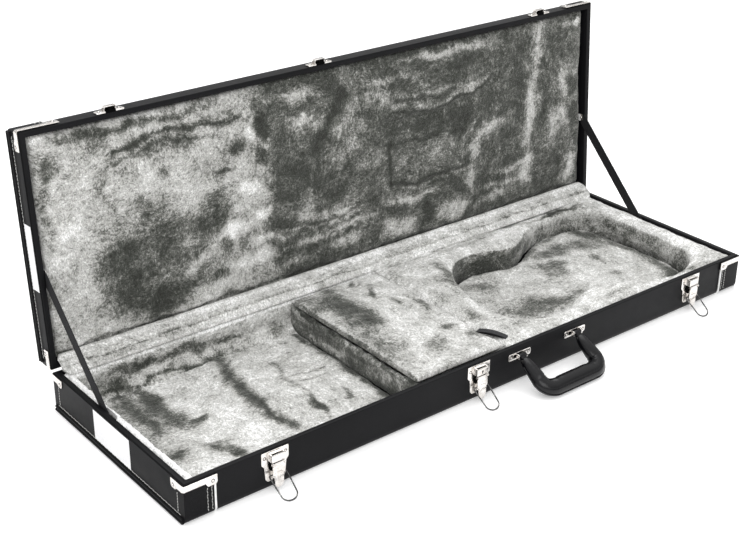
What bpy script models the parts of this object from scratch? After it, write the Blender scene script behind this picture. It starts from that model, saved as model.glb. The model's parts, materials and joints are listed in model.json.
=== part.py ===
"""Hard-shell guitar case: a covered plywood base and lid, plush padding, latches, handle and stays.

Run with: blender --background --python part.py
Units are metres and +Z is up. The case lies on its back with the lid open: X runs along its length,
the front (latch) side faces -Y, and the origin is the centre of the underside.
Lid pieces are drawn as if the lid were shut, then turned open on the hinge axis by their parent.
"""

import math

import bmesh
import bpy
from mathutils import Vector

MM = 0.001
GAP = 0.3 * MM

# Outer shell
LENGTH = 1070 * MM
WIDTH = 342 * MM
BASE_HEIGHT = 60 * MM
LID_HEIGHT = 33 * MM
SKIN = 1.2 * MM
WALL = 8 * MM
PANEL = 6 * MM
EDGE_RADIUS = 9 * MM
CAP_REACH = 45 * MM
LID_OPEN_ANGLE = math.radians(94.3)
HINGE_OFFSET = 3.5 * MM

# Faces of the shell, inside the leather end caps
FACE_X = LENGTH / 2 - SKIN - GAP
FACE_Y = WIDTH / 2 - SKIN - GAP
INSIDE_X = FACE_X - WALL
INSIDE_Y = FACE_Y - WALL
FRONT = -FACE_Y
LID_BOTTOM = BASE_HEIGHT + GAP
LID_TOP = BASE_HEIGHT + LID_HEIGHT
AXIS_Y = FACE_Y + HINGE_OFFSET
AXIS_Z = BASE_HEIGHT + GAP / 2

# Metal corner clamps
CLAMP_THICKNESS = 1.2 * MM
CLAMP_HEIGHT = 15 * MM
CLAMP_END_ARM = 28 * MM
CLAMP_FRONT_ARM = {"base": 48 * MM, "lid": 60 * MM}
RIM_TO_CLAMP = 2 * MM

# Latches: a riveted plate with a housing, a lever hinged on it, and a wire bail hinged on the lever
LATCHES = {"left": -400 * MM, "centre": -49 * MM, "right": 412 * MM}
PLATE = 1.2 * MM
HOUSING_HALF = 10.3 * MM
HOUSING_FRONT = FRONT - 8 * MM
LEVER_AXIS_Y = FRONT - 9.5 * MM
LEVER_AXIS_Z = 41 * MM
KNUCKLE_RADIUS = 2 * MM
KNUCKLE_HALF = 7.3 * MM
LATCH_PIN_RADIUS = 0.9 * MM
LEVER_HALF = 9.8 * MM
BAIL_AXIS_Y = FRONT - 6 * MM
BAIL_AXIS_Z = 24 * MM
BAIL_LENGTH = 39.7 * MM
BAIL_HALF = 13 * MM
WIRE_RADIUS = 0.9 * MM
BAIL_REST = math.asin((BAIL_AXIS_Z - WIRE_RADIUS - GAP) / BAIL_LENGTH)

# Handle
HANDLE_X = 88 * MM
HANDLE_HALF = 57 * MM
HANDLE_REACH = 68 * MM
HANDLE_AXIS_Y = FRONT - 6 * MM
HANDLE_AXIS_Z = 46 * MM
HANDLE_PIN_RADIUS = 2 * MM
GRIP_RADIUS = 12 * MM
HANDLE_REST = math.asin((HANDLE_AXIS_Z - GRIP_RADIUS - GAP) / HANDLE_REACH)

# Rear hinges
HINGES = {"left": -380 * MM, "centre": 0.0, "right": 380 * MM}
HINGE_HALF = 19 * MM
HINGE_KNUCKLE_HALF = 6.7 * MM
HINGE_RADIUS = 2.8 * MM
HINGE_PIN_RADIUS = 1.3 * MM
HINGE_LEAF = 21 * MM
HINGE_LEAF_LOW = 38 * MM

# Padding inside the base
PAD_END = 518 * MM
PAD_TOP = 57 * MM
PAD_BOTTOM = PANEL + GAP
FRONT_PAD = 7 * MM
REAR_PAD = 13.5 * MM
BAY_FLOOR = 12 * MM
CAVITY_FLOOR = 20 * MM
LINER_RECESS = 9 * MM

# Accessory compartment
BOX_LEFT = -151 * MM
BOX_RIGHT = 20 * MM
BOX_WALL = 8 * MM
BOX_LID = 5 * MM
BOX_FRONT = -INSIDE_Y + FRONT_PAD + 2 * GAP
BOX_REAR = INSIDE_Y - REAR_PAD - 2 * GAP
BOX_LID_BOTTOM = PAD_TOP - BOX_LID

# Stay straps
STRAP_ANCHOR = 140 * MM
STRAP_WIDTH = 17 * MM
STRAP_THICKNESS = 1.5 * MM
STRAP_X = INSIDE_X - 0.6 * MM
STRAP_BASE_Z = 46 * MM
STRAP_LID_Z = LID_BOTTOM + 6 * MM
CLIP = 1.2 * MM

# Stickers on the left end
LABEL_Y = (-40 * MM, 55 * MM)
LABEL_THICKNESS = 0.3 * MM

# Outline of the hollow for the guitar's body, seen from above, as (x, y) in millimetres.
# It runs from the rear horn round the tail to the front horn and the neck end.
CAVITY_OUTLINE = [
    (112, 58), (146, 96), (188, 106), (223, 98), (256, 87), (288, 95), (318, 114), (350, 129),
    (390, 136), (436, 130), (466, 112), (481, 78), (487, 30), (488, -20), (487, -62), (480, -100),
    (456, -129), (418, -144), (382, -144), (350, -133), (320, -117), (284, -104), (240, -99),
    (206, -110), (172, -126), (130, -127), (97, -108), (78, -58), (88, 0),
]


def clear_scene():
    for obj in list(bpy.data.objects):
        bpy.data.objects.remove(obj)


def make_material(name, colour, roughness, metallic=0.0):
    material = bpy.data.materials.new(name)
    material.use_nodes = True
    shader = material.node_tree.nodes["Principled BSDF"]
    shader.inputs["Base Color"].default_value = (*colour, 1.0)
    shader.inputs["Roughness"].default_value = roughness
    shader.inputs["Metallic"].default_value = metallic
    return material


# Shapes, as closed bmeshes with their faces out


def prism(outline, axis, start, end):
    """A 2D outline pushed along an axis: (y, z) for X, (x, z) for Y, (x, y) for Z."""
    place = {
        "X": lambda u, v, w: (w, u, v),
        "Y": lambda u, v, w: (u, w, v),
        "Z": lambda u, v, w: (u, v, w),
    }[axis]
    bm = bmesh.new()
    rings = []
    for depth in (start, end):
        rings.append([bm.verts.new(place(u, v, depth)) for u, v in outline])
    bm.faces.new(rings[0])
    bm.faces.new(rings[1])
    count = len(outline)
    for i in range(count):
        j = (i + 1) % count
        bm.faces.new((rings[0][i], rings[0][j], rings[1][j], rings[1][i]))
    bmesh.ops.recalc_face_normals(bm, faces=bm.faces)
    return bm


def block(low, high):
    outline = [(low[0], low[1]), (high[0], low[1]), (high[0], high[1]), (low[0], high[1])]
    return prism(outline, "Z", low[2], high[2])


def circle(centre, radius, sides=12):
    points = []
    for i in range(sides):
        angle = 2 * math.pi * (i + 0.5) / sides
        points.append((centre[0] + radius * math.cos(angle), centre[1] + radius * math.sin(angle)))
    return points


def rod(centre, radius, start, end, sides=12):
    """A round bar along X; centre is (y, z)."""
    return prism(circle(centre, radius, sides), "X", start, end)


def sweep(points, radii, sides=12):
    """A round bar of changing radius through points that lie in one plane of constant z."""
    bm = bmesh.new()
    rings = []
    for i, point in enumerate(points):
        before = points[max(i - 1, 0)]
        after = points[min(i + 1, len(points) - 1)]
        along = (after - before).normalized()
        across = along.cross(Vector((0, 0, 1)))
        ring = []
        for k in range(sides):
            angle = 2 * math.pi * k / sides
            offset = across * math.cos(angle) + Vector((0, 0, 1)) * math.sin(angle)
            ring.append(bm.verts.new(point + offset * radii[i]))
        rings.append(ring)
    for ring, following in zip(rings, rings[1:]):
        for k in range(sides):
            j = (k + 1) % sides
            bm.faces.new((ring[k], ring[j], following[j], following[k]))
    bm.faces.new(rings[0])
    bm.faces.new(rings[-1])
    bmesh.ops.recalc_face_normals(bm, faces=bm.faces)
    return bm


def smooth_outline(points, steps):
    """A closed Catmull-Rom curve through points in millimetres, returned in metres."""
    count = len(points)
    curve = []
    for i in range(count):
        p0, p1, p2, p3 = (Vector(points[(i + k) % count]) for k in (-1, 0, 1, 2))
        for step in range(steps):
            t = step / steps
            spot = 0.5 * (
                2 * p1
                + (p2 - p0) * t
                + (2 * p0 - 5 * p1 + 4 * p2 - p3) * t**2
                + (3 * p1 - p0 - 3 * p2 + p3) * t**3
            )
            curve.append((spot.x * MM, spot.y * MM))
    return curve


def inset_outline(points, distance):
    """Moves each point of a counter-clockwise or clockwise outline inwards by a distance."""
    count = len(points)
    area = sum(
        points[i][0] * points[(i + 1) % count][1] - points[(i + 1) % count][0] * points[i][1]
        for i in range(count)
    )
    side = 1 if area > 0 else -1
    moved = []
    for i in range(count):
        before = Vector(points[i - 1])
        after = Vector(points[(i + 1) % count])
        along = (after - before).normalized()
        inward = Vector((-along.y, along.x)) * side
        spot = Vector(points[i]) + inward * distance
        moved.append((spot.x, spot.y))
    return moved


# Objects


def finish(obj, material, parent=None):
    obj.data.materials.clear()
    obj.data.materials.append(material)
    obj.parent = parent
    return obj


def mesh_object(name, bm, material, parent=None, origin=(0, 0, 0)):
    """An object whose mesh is given in the shut case's coordinates, with its origin moved to a point."""
    bmesh.ops.translate(bm, verts=bm.verts, vec=-Vector(origin))
    mesh = bpy.data.meshes.new(name)
    bm.to_mesh(mesh)
    bm.free()
    obj = bpy.data.objects.new(name, mesh)
    obj.location = Vector(origin)
    if parent is not None:
        obj.location = Vector(origin) - Vector(parent["drawn_at"])
    bpy.context.scene.collection.objects.link(obj)
    return finish(obj, material, parent)


def combine(bodies, cutters=()):
    """One solid from overlapping bodies, less the cutters."""
    helpers = []
    for number, body in enumerate([*bodies, *cutters]):
        mesh = bpy.data.meshes.new("helper")
        body.to_mesh(mesh)
        body.free()
        helper = bpy.data.objects.new(f"helper_{number}", mesh)
        bpy.context.scene.collection.objects.link(helper)
        helpers.append(helper)
    first = helpers[0]
    for number, helper in enumerate(helpers[1:], 1):
        modifier = first.modifiers.new("Boolean", "BOOLEAN")
        modifier.operation = "UNION" if number < len(bodies) else "DIFFERENCE"
        modifier.object = helper
    bpy.context.view_layer.update()
    graph = bpy.context.evaluated_depsgraph_get()
    evaluated = first.evaluated_get(graph)
    result = bmesh.new()
    result.from_mesh(evaluated.to_mesh())
    evaluated.to_mesh_clear()
    bmesh.ops.remove_doubles(result, verts=result.verts, dist=1e-6)
    for helper in helpers:
        bpy.data.objects.remove(helper)
    return result


def axis_empty(name, position, tilt=0.0):
    """An empty on a joint's axis; pieces under it are drawn in the shut case's coordinates."""
    empty = bpy.data.objects.new(name, None)
    empty.location = position
    empty.rotation_euler = (tilt, 0, 0)
    empty["drawn_at"] = tuple(position)
    bpy.context.scene.collection.objects.link(empty)
    return empty


# Cross-sections of the shell, as (y, z) outlines that run from the front rim round to the rear rim


def mirrored(half):
    """Adds the rear half to a front half that ends on the bottom panel."""
    return half + [(-y, z) for y, z in reversed(half)]


def edge_arc(centre_y, centre_z, radius, steps=5):
    """The quarter round from the front face to the underside."""
    points = []
    for i in range(steps + 1):
        angle = math.pi + math.pi / 2 * i / steps
        points.append((centre_y + radius * math.cos(angle), centre_z + radius * math.sin(angle)))
    return points


def filled_section(half_width, radius, top, bottom_step=0.0):
    """The whole cross-section under the rim."""
    centre = (-half_width + radius, EDGE_RADIUS)
    half = [(-half_width, top), *edge_arc(*centre, radius)]
    if bottom_step:
        half.append((centre[0] + bottom_step, 0.0))
    return mirrored(half)


def tray_section(half_width, radius, top, bottom_step):
    """The cross-section of a front wall, bottom panel and rear wall made as one shell."""
    outer = filled_section(half_width, radius, top, bottom_step)
    inner = mirrored([(-INSIDE_Y, top), (-INSIDE_Y, PANEL)])
    return outer + list(reversed(inner))


def for_lid(outline):
    """Turns a base cross-section upside down, so that it stands on the lid's rim line."""
    return [(y, LID_TOP - z) for y, z in outline]


def shell_part(kind, name, outline, start, end, material, parent):
    section = outline if kind == "base" else for_lid(outline)
    return mesh_object(name, prism(section, "X", start, end), material, parent)


def shell(kind, material, parent):
    """The tray and its two end boards."""
    top = BASE_HEIGHT if kind == "base" else LID_TOP - LID_BOTTOM
    radius = EDGE_RADIUS - SKIN - GAP
    step = GAP
    tray = tray_section(FACE_Y, radius, top, step)
    shell_part(kind, f"{kind}_shell", tray, -INSIDE_X, INSIDE_X, material, parent)
    board = filled_section(FACE_Y, radius, top, step)
    shell_part(kind, f"{kind}_left_end", board, -FACE_X, -INSIDE_X - GAP, material, parent)
    shell_part(kind, f"{kind}_right_end", board, INSIDE_X + GAP, FACE_X, material, parent)


def end_cap(kind, side, material, parent):
    """The leather cap over an end: its sheet, the bead at its border and the rolled welt below."""
    sign = {"left": -1, "right": 1}[side]
    turn = (lambda outline: outline) if kind == "base" else for_lid
    top = (BASE_HEIGHT if kind == "base" else LID_TOP - LID_BOTTOM) - 1 * MM
    outside = sign * LENGTH / 2
    border = sign * (LENGTH / 2 - CAP_REACH)
    bead = 3 * MM
    bead_rise = 0.6 * MM
    half = WIDTH / 2
    sheet = prism(turn(filled_section(half, EDGE_RADIUS, top)), "X", outside, border)
    bead_top = BASE_HEIGHT - RIM_TO_CLAMP - CLAMP_HEIGHT - 1 * MM
    if kind == "lid":
        bead_top = LID_HEIGHT - RIM_TO_CLAMP - CLAMP_HEIGHT - 1 * MM
    raised = filled_section(half + bead_rise, EDGE_RADIUS, bead_top)
    ring = prism(turn(raised), "X", border + sign * 0.5 * MM, border - sign * bead)
    welt_outline = turn([(-half + 8 * MM, 1 * MM), (half - 8 * MM, 1 * MM), (half - 6 * MM, 3 * MM),
                         (half - 6 * MM, 8 * MM), (half - 8 * MM, 10 * MM), (-half + 8 * MM, 10 * MM),
                         (-half + 6 * MM, 8 * MM), (-half + 6 * MM, 3 * MM)])
    welt = prism(welt_outline, "X", outside - sign * 0.4 * MM, outside + sign * 4 * MM)
    inner = filled_section(half - SKIN, EDGE_RADIUS - SKIN, top + 10 * MM)
    past = border - sign * 20 * MM
    hollow = prism(turn(inner), "X", outside - sign * SKIN, past)
    flat = half - EDGE_RADIUS
    low = -5 * MM
    strip = [(-flat, low), (flat, low), (flat, SKIN + GAP), (-flat, SKIN + GAP)]
    open_bottom = prism(turn(strip), "X", outside - sign * SKIN, past)
    solid = combine([sheet, ring, welt], [hollow, open_bottom])
    mesh_object(f"{kind}_{side}_end_cap", solid, material, parent)


def corner_clamp(kind, end, side, material, parent):
    """An L-shaped metal clamp wrapped round a corner of the rim."""
    along = {"left": -1, "right": 1}[side]
    across = {"front": -1, "rear": 1}[end]
    near = Vector((LENGTH / 2 + GAP, WIDTH / 2 + GAP))
    far = near + Vector((CLAMP_THICKNESS, CLAMP_THICKNESS))
    chamfer = 1 * MM
    front_end = LENGTH / 2 - CLAMP_FRONT_ARM[kind]
    side_end = WIDTH / 2 - CLAMP_END_ARM
    corner = [
        (front_end, far.y), (far.x - chamfer, far.y), (far.x, far.y - chamfer),
        (far.x, side_end), (near.x, side_end), (near.x, near.y), (front_end, near.y),
    ]
    outline = [(along * x, across * y) for x, y in corner]
    high = BASE_HEIGHT - RIM_TO_CLAMP
    if kind == "lid":
        high = LID_BOTTOM + RIM_TO_CLAMP + CLAMP_HEIGHT
    solid = prism(outline, "Z", high - CLAMP_HEIGHT, high)
    mesh_object(f"{kind}_corner_{end}_{side}", solid, material, parent)


def label(kind, low, high, material, parent):
    """A blank sticker on the left end."""
    outside = -LENGTH / 2 - GAP
    solid = block(
        (outside - LABEL_THICKNESS, LABEL_Y[0], low), (outside, LABEL_Y[1], high)
    )
    mesh_object(f"{kind}_label", solid, material, parent)


# Padding inside the base


def headstock_bay(material):
    """The low floor under the headstock, and the lining of the walls beside it and the compartment."""
    inner_front = BOX_FRONT - GAP
    inner_rear = BOX_REAR + GAP
    floor = block(
        (-PAD_END + 7 * MM, inner_front + GAP, PAD_BOTTOM),
        (BOX_LEFT - GAP, inner_rear - GAP, BAY_FLOOR),
    )
    mesh_object("headstock_pad", floor, material)
    right = BOX_RIGHT - GAP
    wall = INSIDE_Y - GAP
    inner_left = -PAD_END + 7 * MM - GAP
    outline = [
        (-PAD_END, -wall), (right, -wall), (right, inner_front), (inner_left, inner_front),
        (inner_left, inner_rear), (right, inner_rear), (right, wall), (-PAD_END, wall),
    ]
    mesh_object("bay_side_padding", prism(outline, "Z", PAD_BOTTOM, PAD_TOP), material)


def compartment(plush, ribbon):
    """The accessory compartment: two dividers, a floor pad, a lid hinged on its left edge, a pull tab."""
    top = BOX_LID_BOTTOM - GAP
    left_wall = block((BOX_LEFT, BOX_FRONT, PAD_BOTTOM), (BOX_LEFT + BOX_WALL, BOX_REAR, top))
    mesh_object("compartment_left_wall", left_wall, plush)
    right_wall = block(
        (BOX_RIGHT - BOX_WALL, BOX_FRONT, PAD_BOTTOM), (BOX_RIGHT - GAP, BOX_REAR, top)
    )
    mesh_object("compartment_right_wall", right_wall, plush)
    floor = block(
        (BOX_LEFT + BOX_WALL + GAP, BOX_FRONT, PAD_BOTTOM),
        (BOX_RIGHT - BOX_WALL - GAP, BOX_REAR, PAD_BOTTOM + 2.2 * MM),
    )
    mesh_object("compartment_floor_pad", floor, plush)
    hinge = (BOX_LEFT, 0, BOX_LID_BOTTOM)
    lid = block(
        (BOX_LEFT + GAP, BOX_FRONT + GAP, BOX_LID_BOTTOM),
        (BOX_RIGHT - GAP, BOX_REAR - GAP, PAD_TOP),
    )
    lid_object = mesh_object("compartment_lid", lid, plush, origin=hinge)
    lid_object["drawn_at"] = hinge
    start = Vector((15 * MM, -102 * MM))
    end = Vector((34 * MM, -143 * MM))
    side = (end - start).orthogonal().normalized() * 6 * MM
    tab_outline = [tuple(start - side), tuple(end - side), tuple(end + side), tuple(start + side)]
    tab = prism(tab_outline, "Z", PAD_TOP + GAP, PAD_TOP + 2.3 * MM)
    mesh_object("compartment_pull_tab", tab, ribbon, lid_object)


def body_padding(plush):
    """The foam block round the guitar's body, cut to its outline, and the pad under it."""
    outline = smooth_outline(CAVITY_OUTLINE, 3)
    foam = block((BOX_RIGHT + GAP, -INSIDE_Y + GAP, PAD_BOTTOM), (PAD_END, INSIDE_Y - GAP, PAD_TOP))
    cutter = prism(outline, "Z", 0.0, 2 * PAD_TOP)
    mesh_object("body_block", combine([foam], [cutter]), plush)
    pad = prism(inset_outline(outline, 2 * GAP), "Z", PAD_BOTTOM, CAVITY_FLOOR)
    mesh_object("cavity_pad", pad, plush)


def hinge_gusset(plush):
    """The plush strip that closes the gap between the base's rear padding and the open lid."""
    outline_mm = [
        (148.6, 57.5), (161, 57.5), (161, 60.6), (169.4, 60.6), (173, 72.4),
        (182.2, 72.4), (182.6, 79), (176, 77.5), (165, 72), (154, 65), (148.6, 60.5),
    ]
    outline = [(y * MM, z * MM) for y, z in outline_mm]
    mesh_object("hinge_gusset", prism(outline, "X", -PAD_END, PAD_END), plush)


def lid_liner(plush, parent):
    low = LID_BOTTOM + LINER_RECESS
    high = LID_TOP - PANEL - GAP
    y = INSIDE_Y - GAP
    mesh_object("lid_liner", block((-PAD_END, -y, low), (PAD_END, y, high)), plush, parent)


# Stay straps


def strap_ends():
    """The strap's lower and upper points at rest, as (y, z)."""
    anchor_y = AXIS_Y - STRAP_ANCHOR
    arm = Vector((anchor_y - AXIS_Y, STRAP_LID_Z - AXIS_Z))
    cosine = math.cos(-LID_OPEN_ANGLE)
    sine = math.sin(-LID_OPEN_ANGLE)
    turned = Vector((arm.x * cosine - arm.y * sine, arm.x * sine + arm.y * cosine))
    return Vector((anchor_y, STRAP_BASE_Z)), Vector((AXIS_Y, AXIS_Z)) + turned


def stay_strap(side, webbing, metal, lid_parent):
    """A webbing strap that stops the lid, with a riveted metal clip at each end."""
    sign = {"left": -1, "right": 1}[side]
    low, high = strap_ends()
    across = (high - low).orthogonal().normalized() * STRAP_WIDTH / 2
    outline = [tuple(low - across), tuple(high - across), tuple(high + across), tuple(low + across)]
    outer = sign * STRAP_X
    inner = sign * (STRAP_X - STRAP_THICKNESS)
    mesh_object(f"stay_strap_{side}", prism(outline, "X", outer, inner), webbing)
    clip_outer = inner - sign * GAP
    clip_inner = clip_outer - sign * CLIP
    reach = 6 * MM
    drop = 4 * MM
    x_low, x_high = sorted((clip_outer, clip_inner))
    base_clip = block((x_low, low.x - reach, low.y - drop), (x_high, low.x + reach, low.y + drop))
    mesh_object(f"strap_clip_base_{side}", base_clip, metal)
    lid_clip = block(
        (x_low, low.x - reach, STRAP_LID_Z - drop), (x_high, low.x + reach, STRAP_LID_Z + drop)
    )
    mesh_object(f"strap_clip_lid_{side}", lid_clip, metal, lid_parent)


# Latches


def shifted(bm, x):
    bmesh.ops.translate(bm, verts=bm.verts, vec=(x, 0, 0))
    return bm


def latch_plate(side, x, metal):
    outline_mm = [
        (-21, 57), (-21, 38), (-16.5, 35), (-14, 17), (-10, 14),
        (10, 14), (14, 17), (16.5, 35), (21, 38), (21, 57),
    ]
    outline = [(u * MM, v * MM) for u, v in outline_mm]
    plate_front = FRONT - GAP - PLATE
    plate = prism(outline, "Y", plate_front, FRONT - GAP)
    housing = block(
        (-HOUSING_HALF, HOUSING_FRONT, LEVER_AXIS_Z),
        (HOUSING_HALF, plate_front + 0.3 * MM, LEVER_AXIS_Z + 13.5 * MM),
    )
    centre = (LEVER_AXIS_Y, LEVER_AXIS_Z)
    inner = KNUCKLE_HALF + GAP
    left = rod(centre, KNUCKLE_RADIUS, -HOUSING_HALF, -inner)
    right = rod(centre, KNUCKLE_RADIUS, inner, HOUSING_HALF)
    pin = rod(centre, LATCH_PIN_RADIUS, -HOUSING_HALF + MM, HOUSING_HALF - MM, 8)
    slot = block((-8 * MM, FRONT - 6 * MM, 48 * MM), (8 * MM, FRONT - 3.5 * MM, 60 * MM))
    # The lever's barrel turns in this notch under the housing.
    notch = rod(centre, KNUCKLE_RADIUS + GAP, -inner, inner)
    body = combine([plate, housing], [slot, notch])
    solid = combine([body, left, right, pin])
    mesh_object(f"latch_plate_{side}", shifted(solid, x), metal)


def latch_lever(side, x, metal):
    outline_mm = [
        (-7.3, 39.6), (-7.3, 38.4), (-9.8, 38.4), (-9.8, 21.5), (-6.5, 19), (-6.5, 7.5), (-4, 4.2),
        (4, 4.2), (6.5, 7.5), (6.5, 19), (9.8, 21.5), (9.8, 38.4), (7.3, 38.4), (7.3, 39.6),
    ]
    outline = [(u * MM, v * MM) for u, v in outline_mm]
    half = 0.7 * MM
    tongue = prism(outline, "Y", LEVER_AXIS_Y - half, LEVER_AXIS_Y + half)
    barrel = rod((LEVER_AXIS_Y, LEVER_AXIS_Z), KNUCKLE_RADIUS, -KNUCKLE_HALF, KNUCKLE_HALF)
    lugs = []
    for sign in (-1, 1):
        near, far = sorted((sign * (LEVER_HALF - 1.4 * MM), sign * LEVER_HALF))
        lugs.append(
            block(
                (near, LEVER_AXIS_Y, BAIL_AXIS_Z - 2.5 * MM),
                (far, BAIL_AXIS_Y + 2.2 * MM, BAIL_AXIS_Z + 3 * MM),
            )
        )
    bore = rod((LEVER_AXIS_Y, LEVER_AXIS_Z), LATCH_PIN_RADIUS + 0.35 * MM, -20 * MM, 20 * MM, 8)
    eyes = rod((BAIL_AXIS_Y, BAIL_AXIS_Z), WIRE_RADIUS + 0.35 * MM, -20 * MM, 20 * MM, 8)
    solid = combine([tongue, barrel, *lugs], [bore, eyes])
    origin = (x, LEVER_AXIS_Y, LEVER_AXIS_Z)
    lever = mesh_object(f"latch_lever_{side}", shifted(solid, x), metal, origin=origin)
    lever["drawn_at"] = origin
    return lever


def bail_path():
    """The wire's half loop from one eye to its tip, as (x, distance from the axis)."""
    straight_end = 31 * MM
    narrow = 11.6 * MM
    half = [(8.6 * MM, 0.0), (12.2 * MM, 0.0), (BAIL_HALF, 0.9 * MM), (BAIL_HALF, 8 * MM)]
    half.append((12.3 * MM, 20 * MM))
    steps = 7
    for i in range(steps + 1):
        angle = math.pi / 2 * i / steps
        reach = straight_end + (BAIL_LENGTH - straight_end) * math.sin(angle)
        half.append((narrow * math.cos(angle), reach))
    return half


def latch_bail(side, x, lever, metal):
    half = bail_path()
    points = half + [(-u, s) for u, s in reversed(half[:-1])]
    curve = bpy.data.curves.new(f"latch_bail_{side}", "CURVE")
    curve.dimensions = "3D"
    curve.bevel_depth = WIRE_RADIUS
    curve.bevel_resolution = 1
    curve.use_fill_caps = True
    spline = curve.splines.new("POLY")
    spline.points.add(len(points) - 1)
    for spot, (u, s) in zip(spline.points, points):
        spot.co = (u, -s, 0, 1)
    bail = bpy.data.objects.new(f"latch_bail_{side}", curve)
    bail.location = Vector((x, BAIL_AXIS_Y, BAIL_AXIS_Z)) - Vector(lever["drawn_at"])
    bail.rotation_euler = (BAIL_REST, 0, 0)
    bpy.context.scene.collection.objects.link(bail)
    finish(bail, metal, lever)


def latch_catch(side, x, metal, parent):
    """The hook on the lid that the bail pulls down."""
    plate_front = FRONT - GAP - PLATE
    low = LID_BOTTOM + 0.5 * MM
    plate = block((-20 * MM, plate_front, low), (20 * MM, FRONT - GAP, low + 13 * MM))
    tongue_top = BASE_HEIGHT + 2 * MM
    half = 3 * MM
    lip_front = FRONT - 7.8 * MM
    tongue = block((-half, lip_front, low), (half, plate_front + 0.3 * MM, tongue_top))
    lip = block((-half, lip_front, low + 0.2 * MM), (half, FRONT - 6.6 * MM, BASE_HEIGHT + 6 * MM))
    solid = combine([plate, tongue, lip])
    mesh_object(f"latch_catch_{side}", shifted(solid, x), metal, parent)


# Handle


def handle_plate(side, x, metal):
    plate_front = FRONT - GAP - 1.5 * MM
    plate = block((-22 * MM, plate_front, 40 * MM), (22 * MM, FRONT - GAP, 51 * MM))
    ears = []
    for sign in (-1, 1):
        near, far = sorted((sign * 6.8 * MM, sign * 8.8 * MM))
        ears.append(
            block(
                (near, HANDLE_AXIS_Y - 3.5 * MM, HANDLE_AXIS_Z - 4 * MM),
                (far, plate_front + 0.3 * MM, HANDLE_AXIS_Z + 4 * MM),
            )
        )
    pin = rod((HANDLE_AXIS_Y, HANDLE_AXIS_Z), HANDLE_PIN_RADIUS, -8 * MM, 8 * MM)
    solid = combine([plate, *ears, pin])
    mesh_object(f"handle_plate_{side}", shifted(solid, x), metal)


def handle_points():
    """The grip's centre line and radii; it is drawn level, reaching out along -Y from the axis."""
    corner = 28 * MM
    straight = HANDLE_REACH - corner
    half = [(HANDLE_HALF, 7 * MM, 5 * MM), (HANDLE_HALF, 14 * MM, 7.5 * MM)]
    half.append((HANDLE_HALF, 24 * MM, 9 * MM))
    steps = 5
    for i in range(steps + 1):
        angle = math.pi / 2 * i / steps
        across = HANDLE_HALF - corner + corner * math.cos(angle)
        reach = straight + corner * math.sin(angle)
        half.append((across, reach, (10 + 2 * i / steps) * MM))
    rows = half + [(-u, s, r) for u, s, r in reversed(half)]
    points = [Vector((HANDLE_X + u, HANDLE_AXIS_Y - s, HANDLE_AXIS_Z)) for u, s, _ in rows]
    return points, [r for _, _, r in rows]


def handle_grip(leather, axis):
    points, radii = handle_points()
    bodies = [sweep(points, radii)]
    bores = []
    for sign in (-1, 1):
        x = HANDLE_X + sign * HANDLE_HALF
        centre = (HANDLE_AXIS_Y, HANDLE_AXIS_Z)
        bodies.append(rod(centre, 3.6 * MM, x - 6.3 * MM, x + 6.3 * MM))
        bodies.append(
            block(
                (x - 4 * MM, HANDLE_AXIS_Y - 9 * MM, HANDLE_AXIS_Z - 2.5 * MM),
                (x + 4 * MM, HANDLE_AXIS_Y - 2.6 * MM, HANDLE_AXIS_Z + 2.5 * MM),
            )
        )
        bores.append(rod(centre, HANDLE_PIN_RADIUS + 0.35 * MM, x - 12 * MM, x + 12 * MM))
    mesh_object("handle_grip", combine(bodies, bores), leather, axis)


# Rear hinges


def hinge(side, x, metal, lid_parent):
    centre = (AXIS_Y, AXIS_Z)
    inner = HINGE_KNUCKLE_HALF + GAP
    leaf_near = FACE_Y + GAP
    leaf_far = leaf_near + PLATE
    leaf = block(
        (-HINGE_HALF, leaf_near, HINGE_LEAF_LOW), (HINGE_HALF, leaf_far, BASE_HEIGHT - 0.5 * MM)
    )
    outer = [
        rod(centre, HINGE_RADIUS, -HINGE_HALF, -inner),
        rod(centre, HINGE_RADIUS, inner, HINGE_HALF),
    ]
    pin = rod(centre, HINGE_PIN_RADIUS, -HINGE_HALF + MM, HINGE_HALF - MM)
    notch = rod(centre, HINGE_RADIUS + GAP, -inner, inner)
    cut_leaf = combine([leaf], [notch])
    base_solid = combine([cut_leaf, *outer, pin])
    mesh_object(f"hinge_base_leaf_{side}", shifted(base_solid, x), metal)
    low = LID_BOTTOM + 0.5 * MM
    lid_leaf = block((-HINGE_HALF, leaf_near, low), (HINGE_HALF, leaf_far, low + HINGE_LEAF))
    gaps = [
        rod(centre, HINGE_RADIUS + GAP, -HINGE_HALF - MM, -HINGE_KNUCKLE_HALF),
        rod(centre, HINGE_RADIUS + GAP, HINGE_KNUCKLE_HALF, HINGE_HALF + MM),
    ]
    knuckle = rod(centre, HINGE_RADIUS, -HINGE_KNUCKLE_HALF, HINGE_KNUCKLE_HALF)
    bore = rod(centre, HINGE_PIN_RADIUS + 0.35 * MM, -HINGE_HALF, HINGE_HALF)
    lid_solid = combine([combine([lid_leaf], gaps), knuckle], [bore])
    mesh_object(f"hinge_lid_leaf_{side}", shifted(lid_solid, x), metal, lid_parent)


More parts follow.
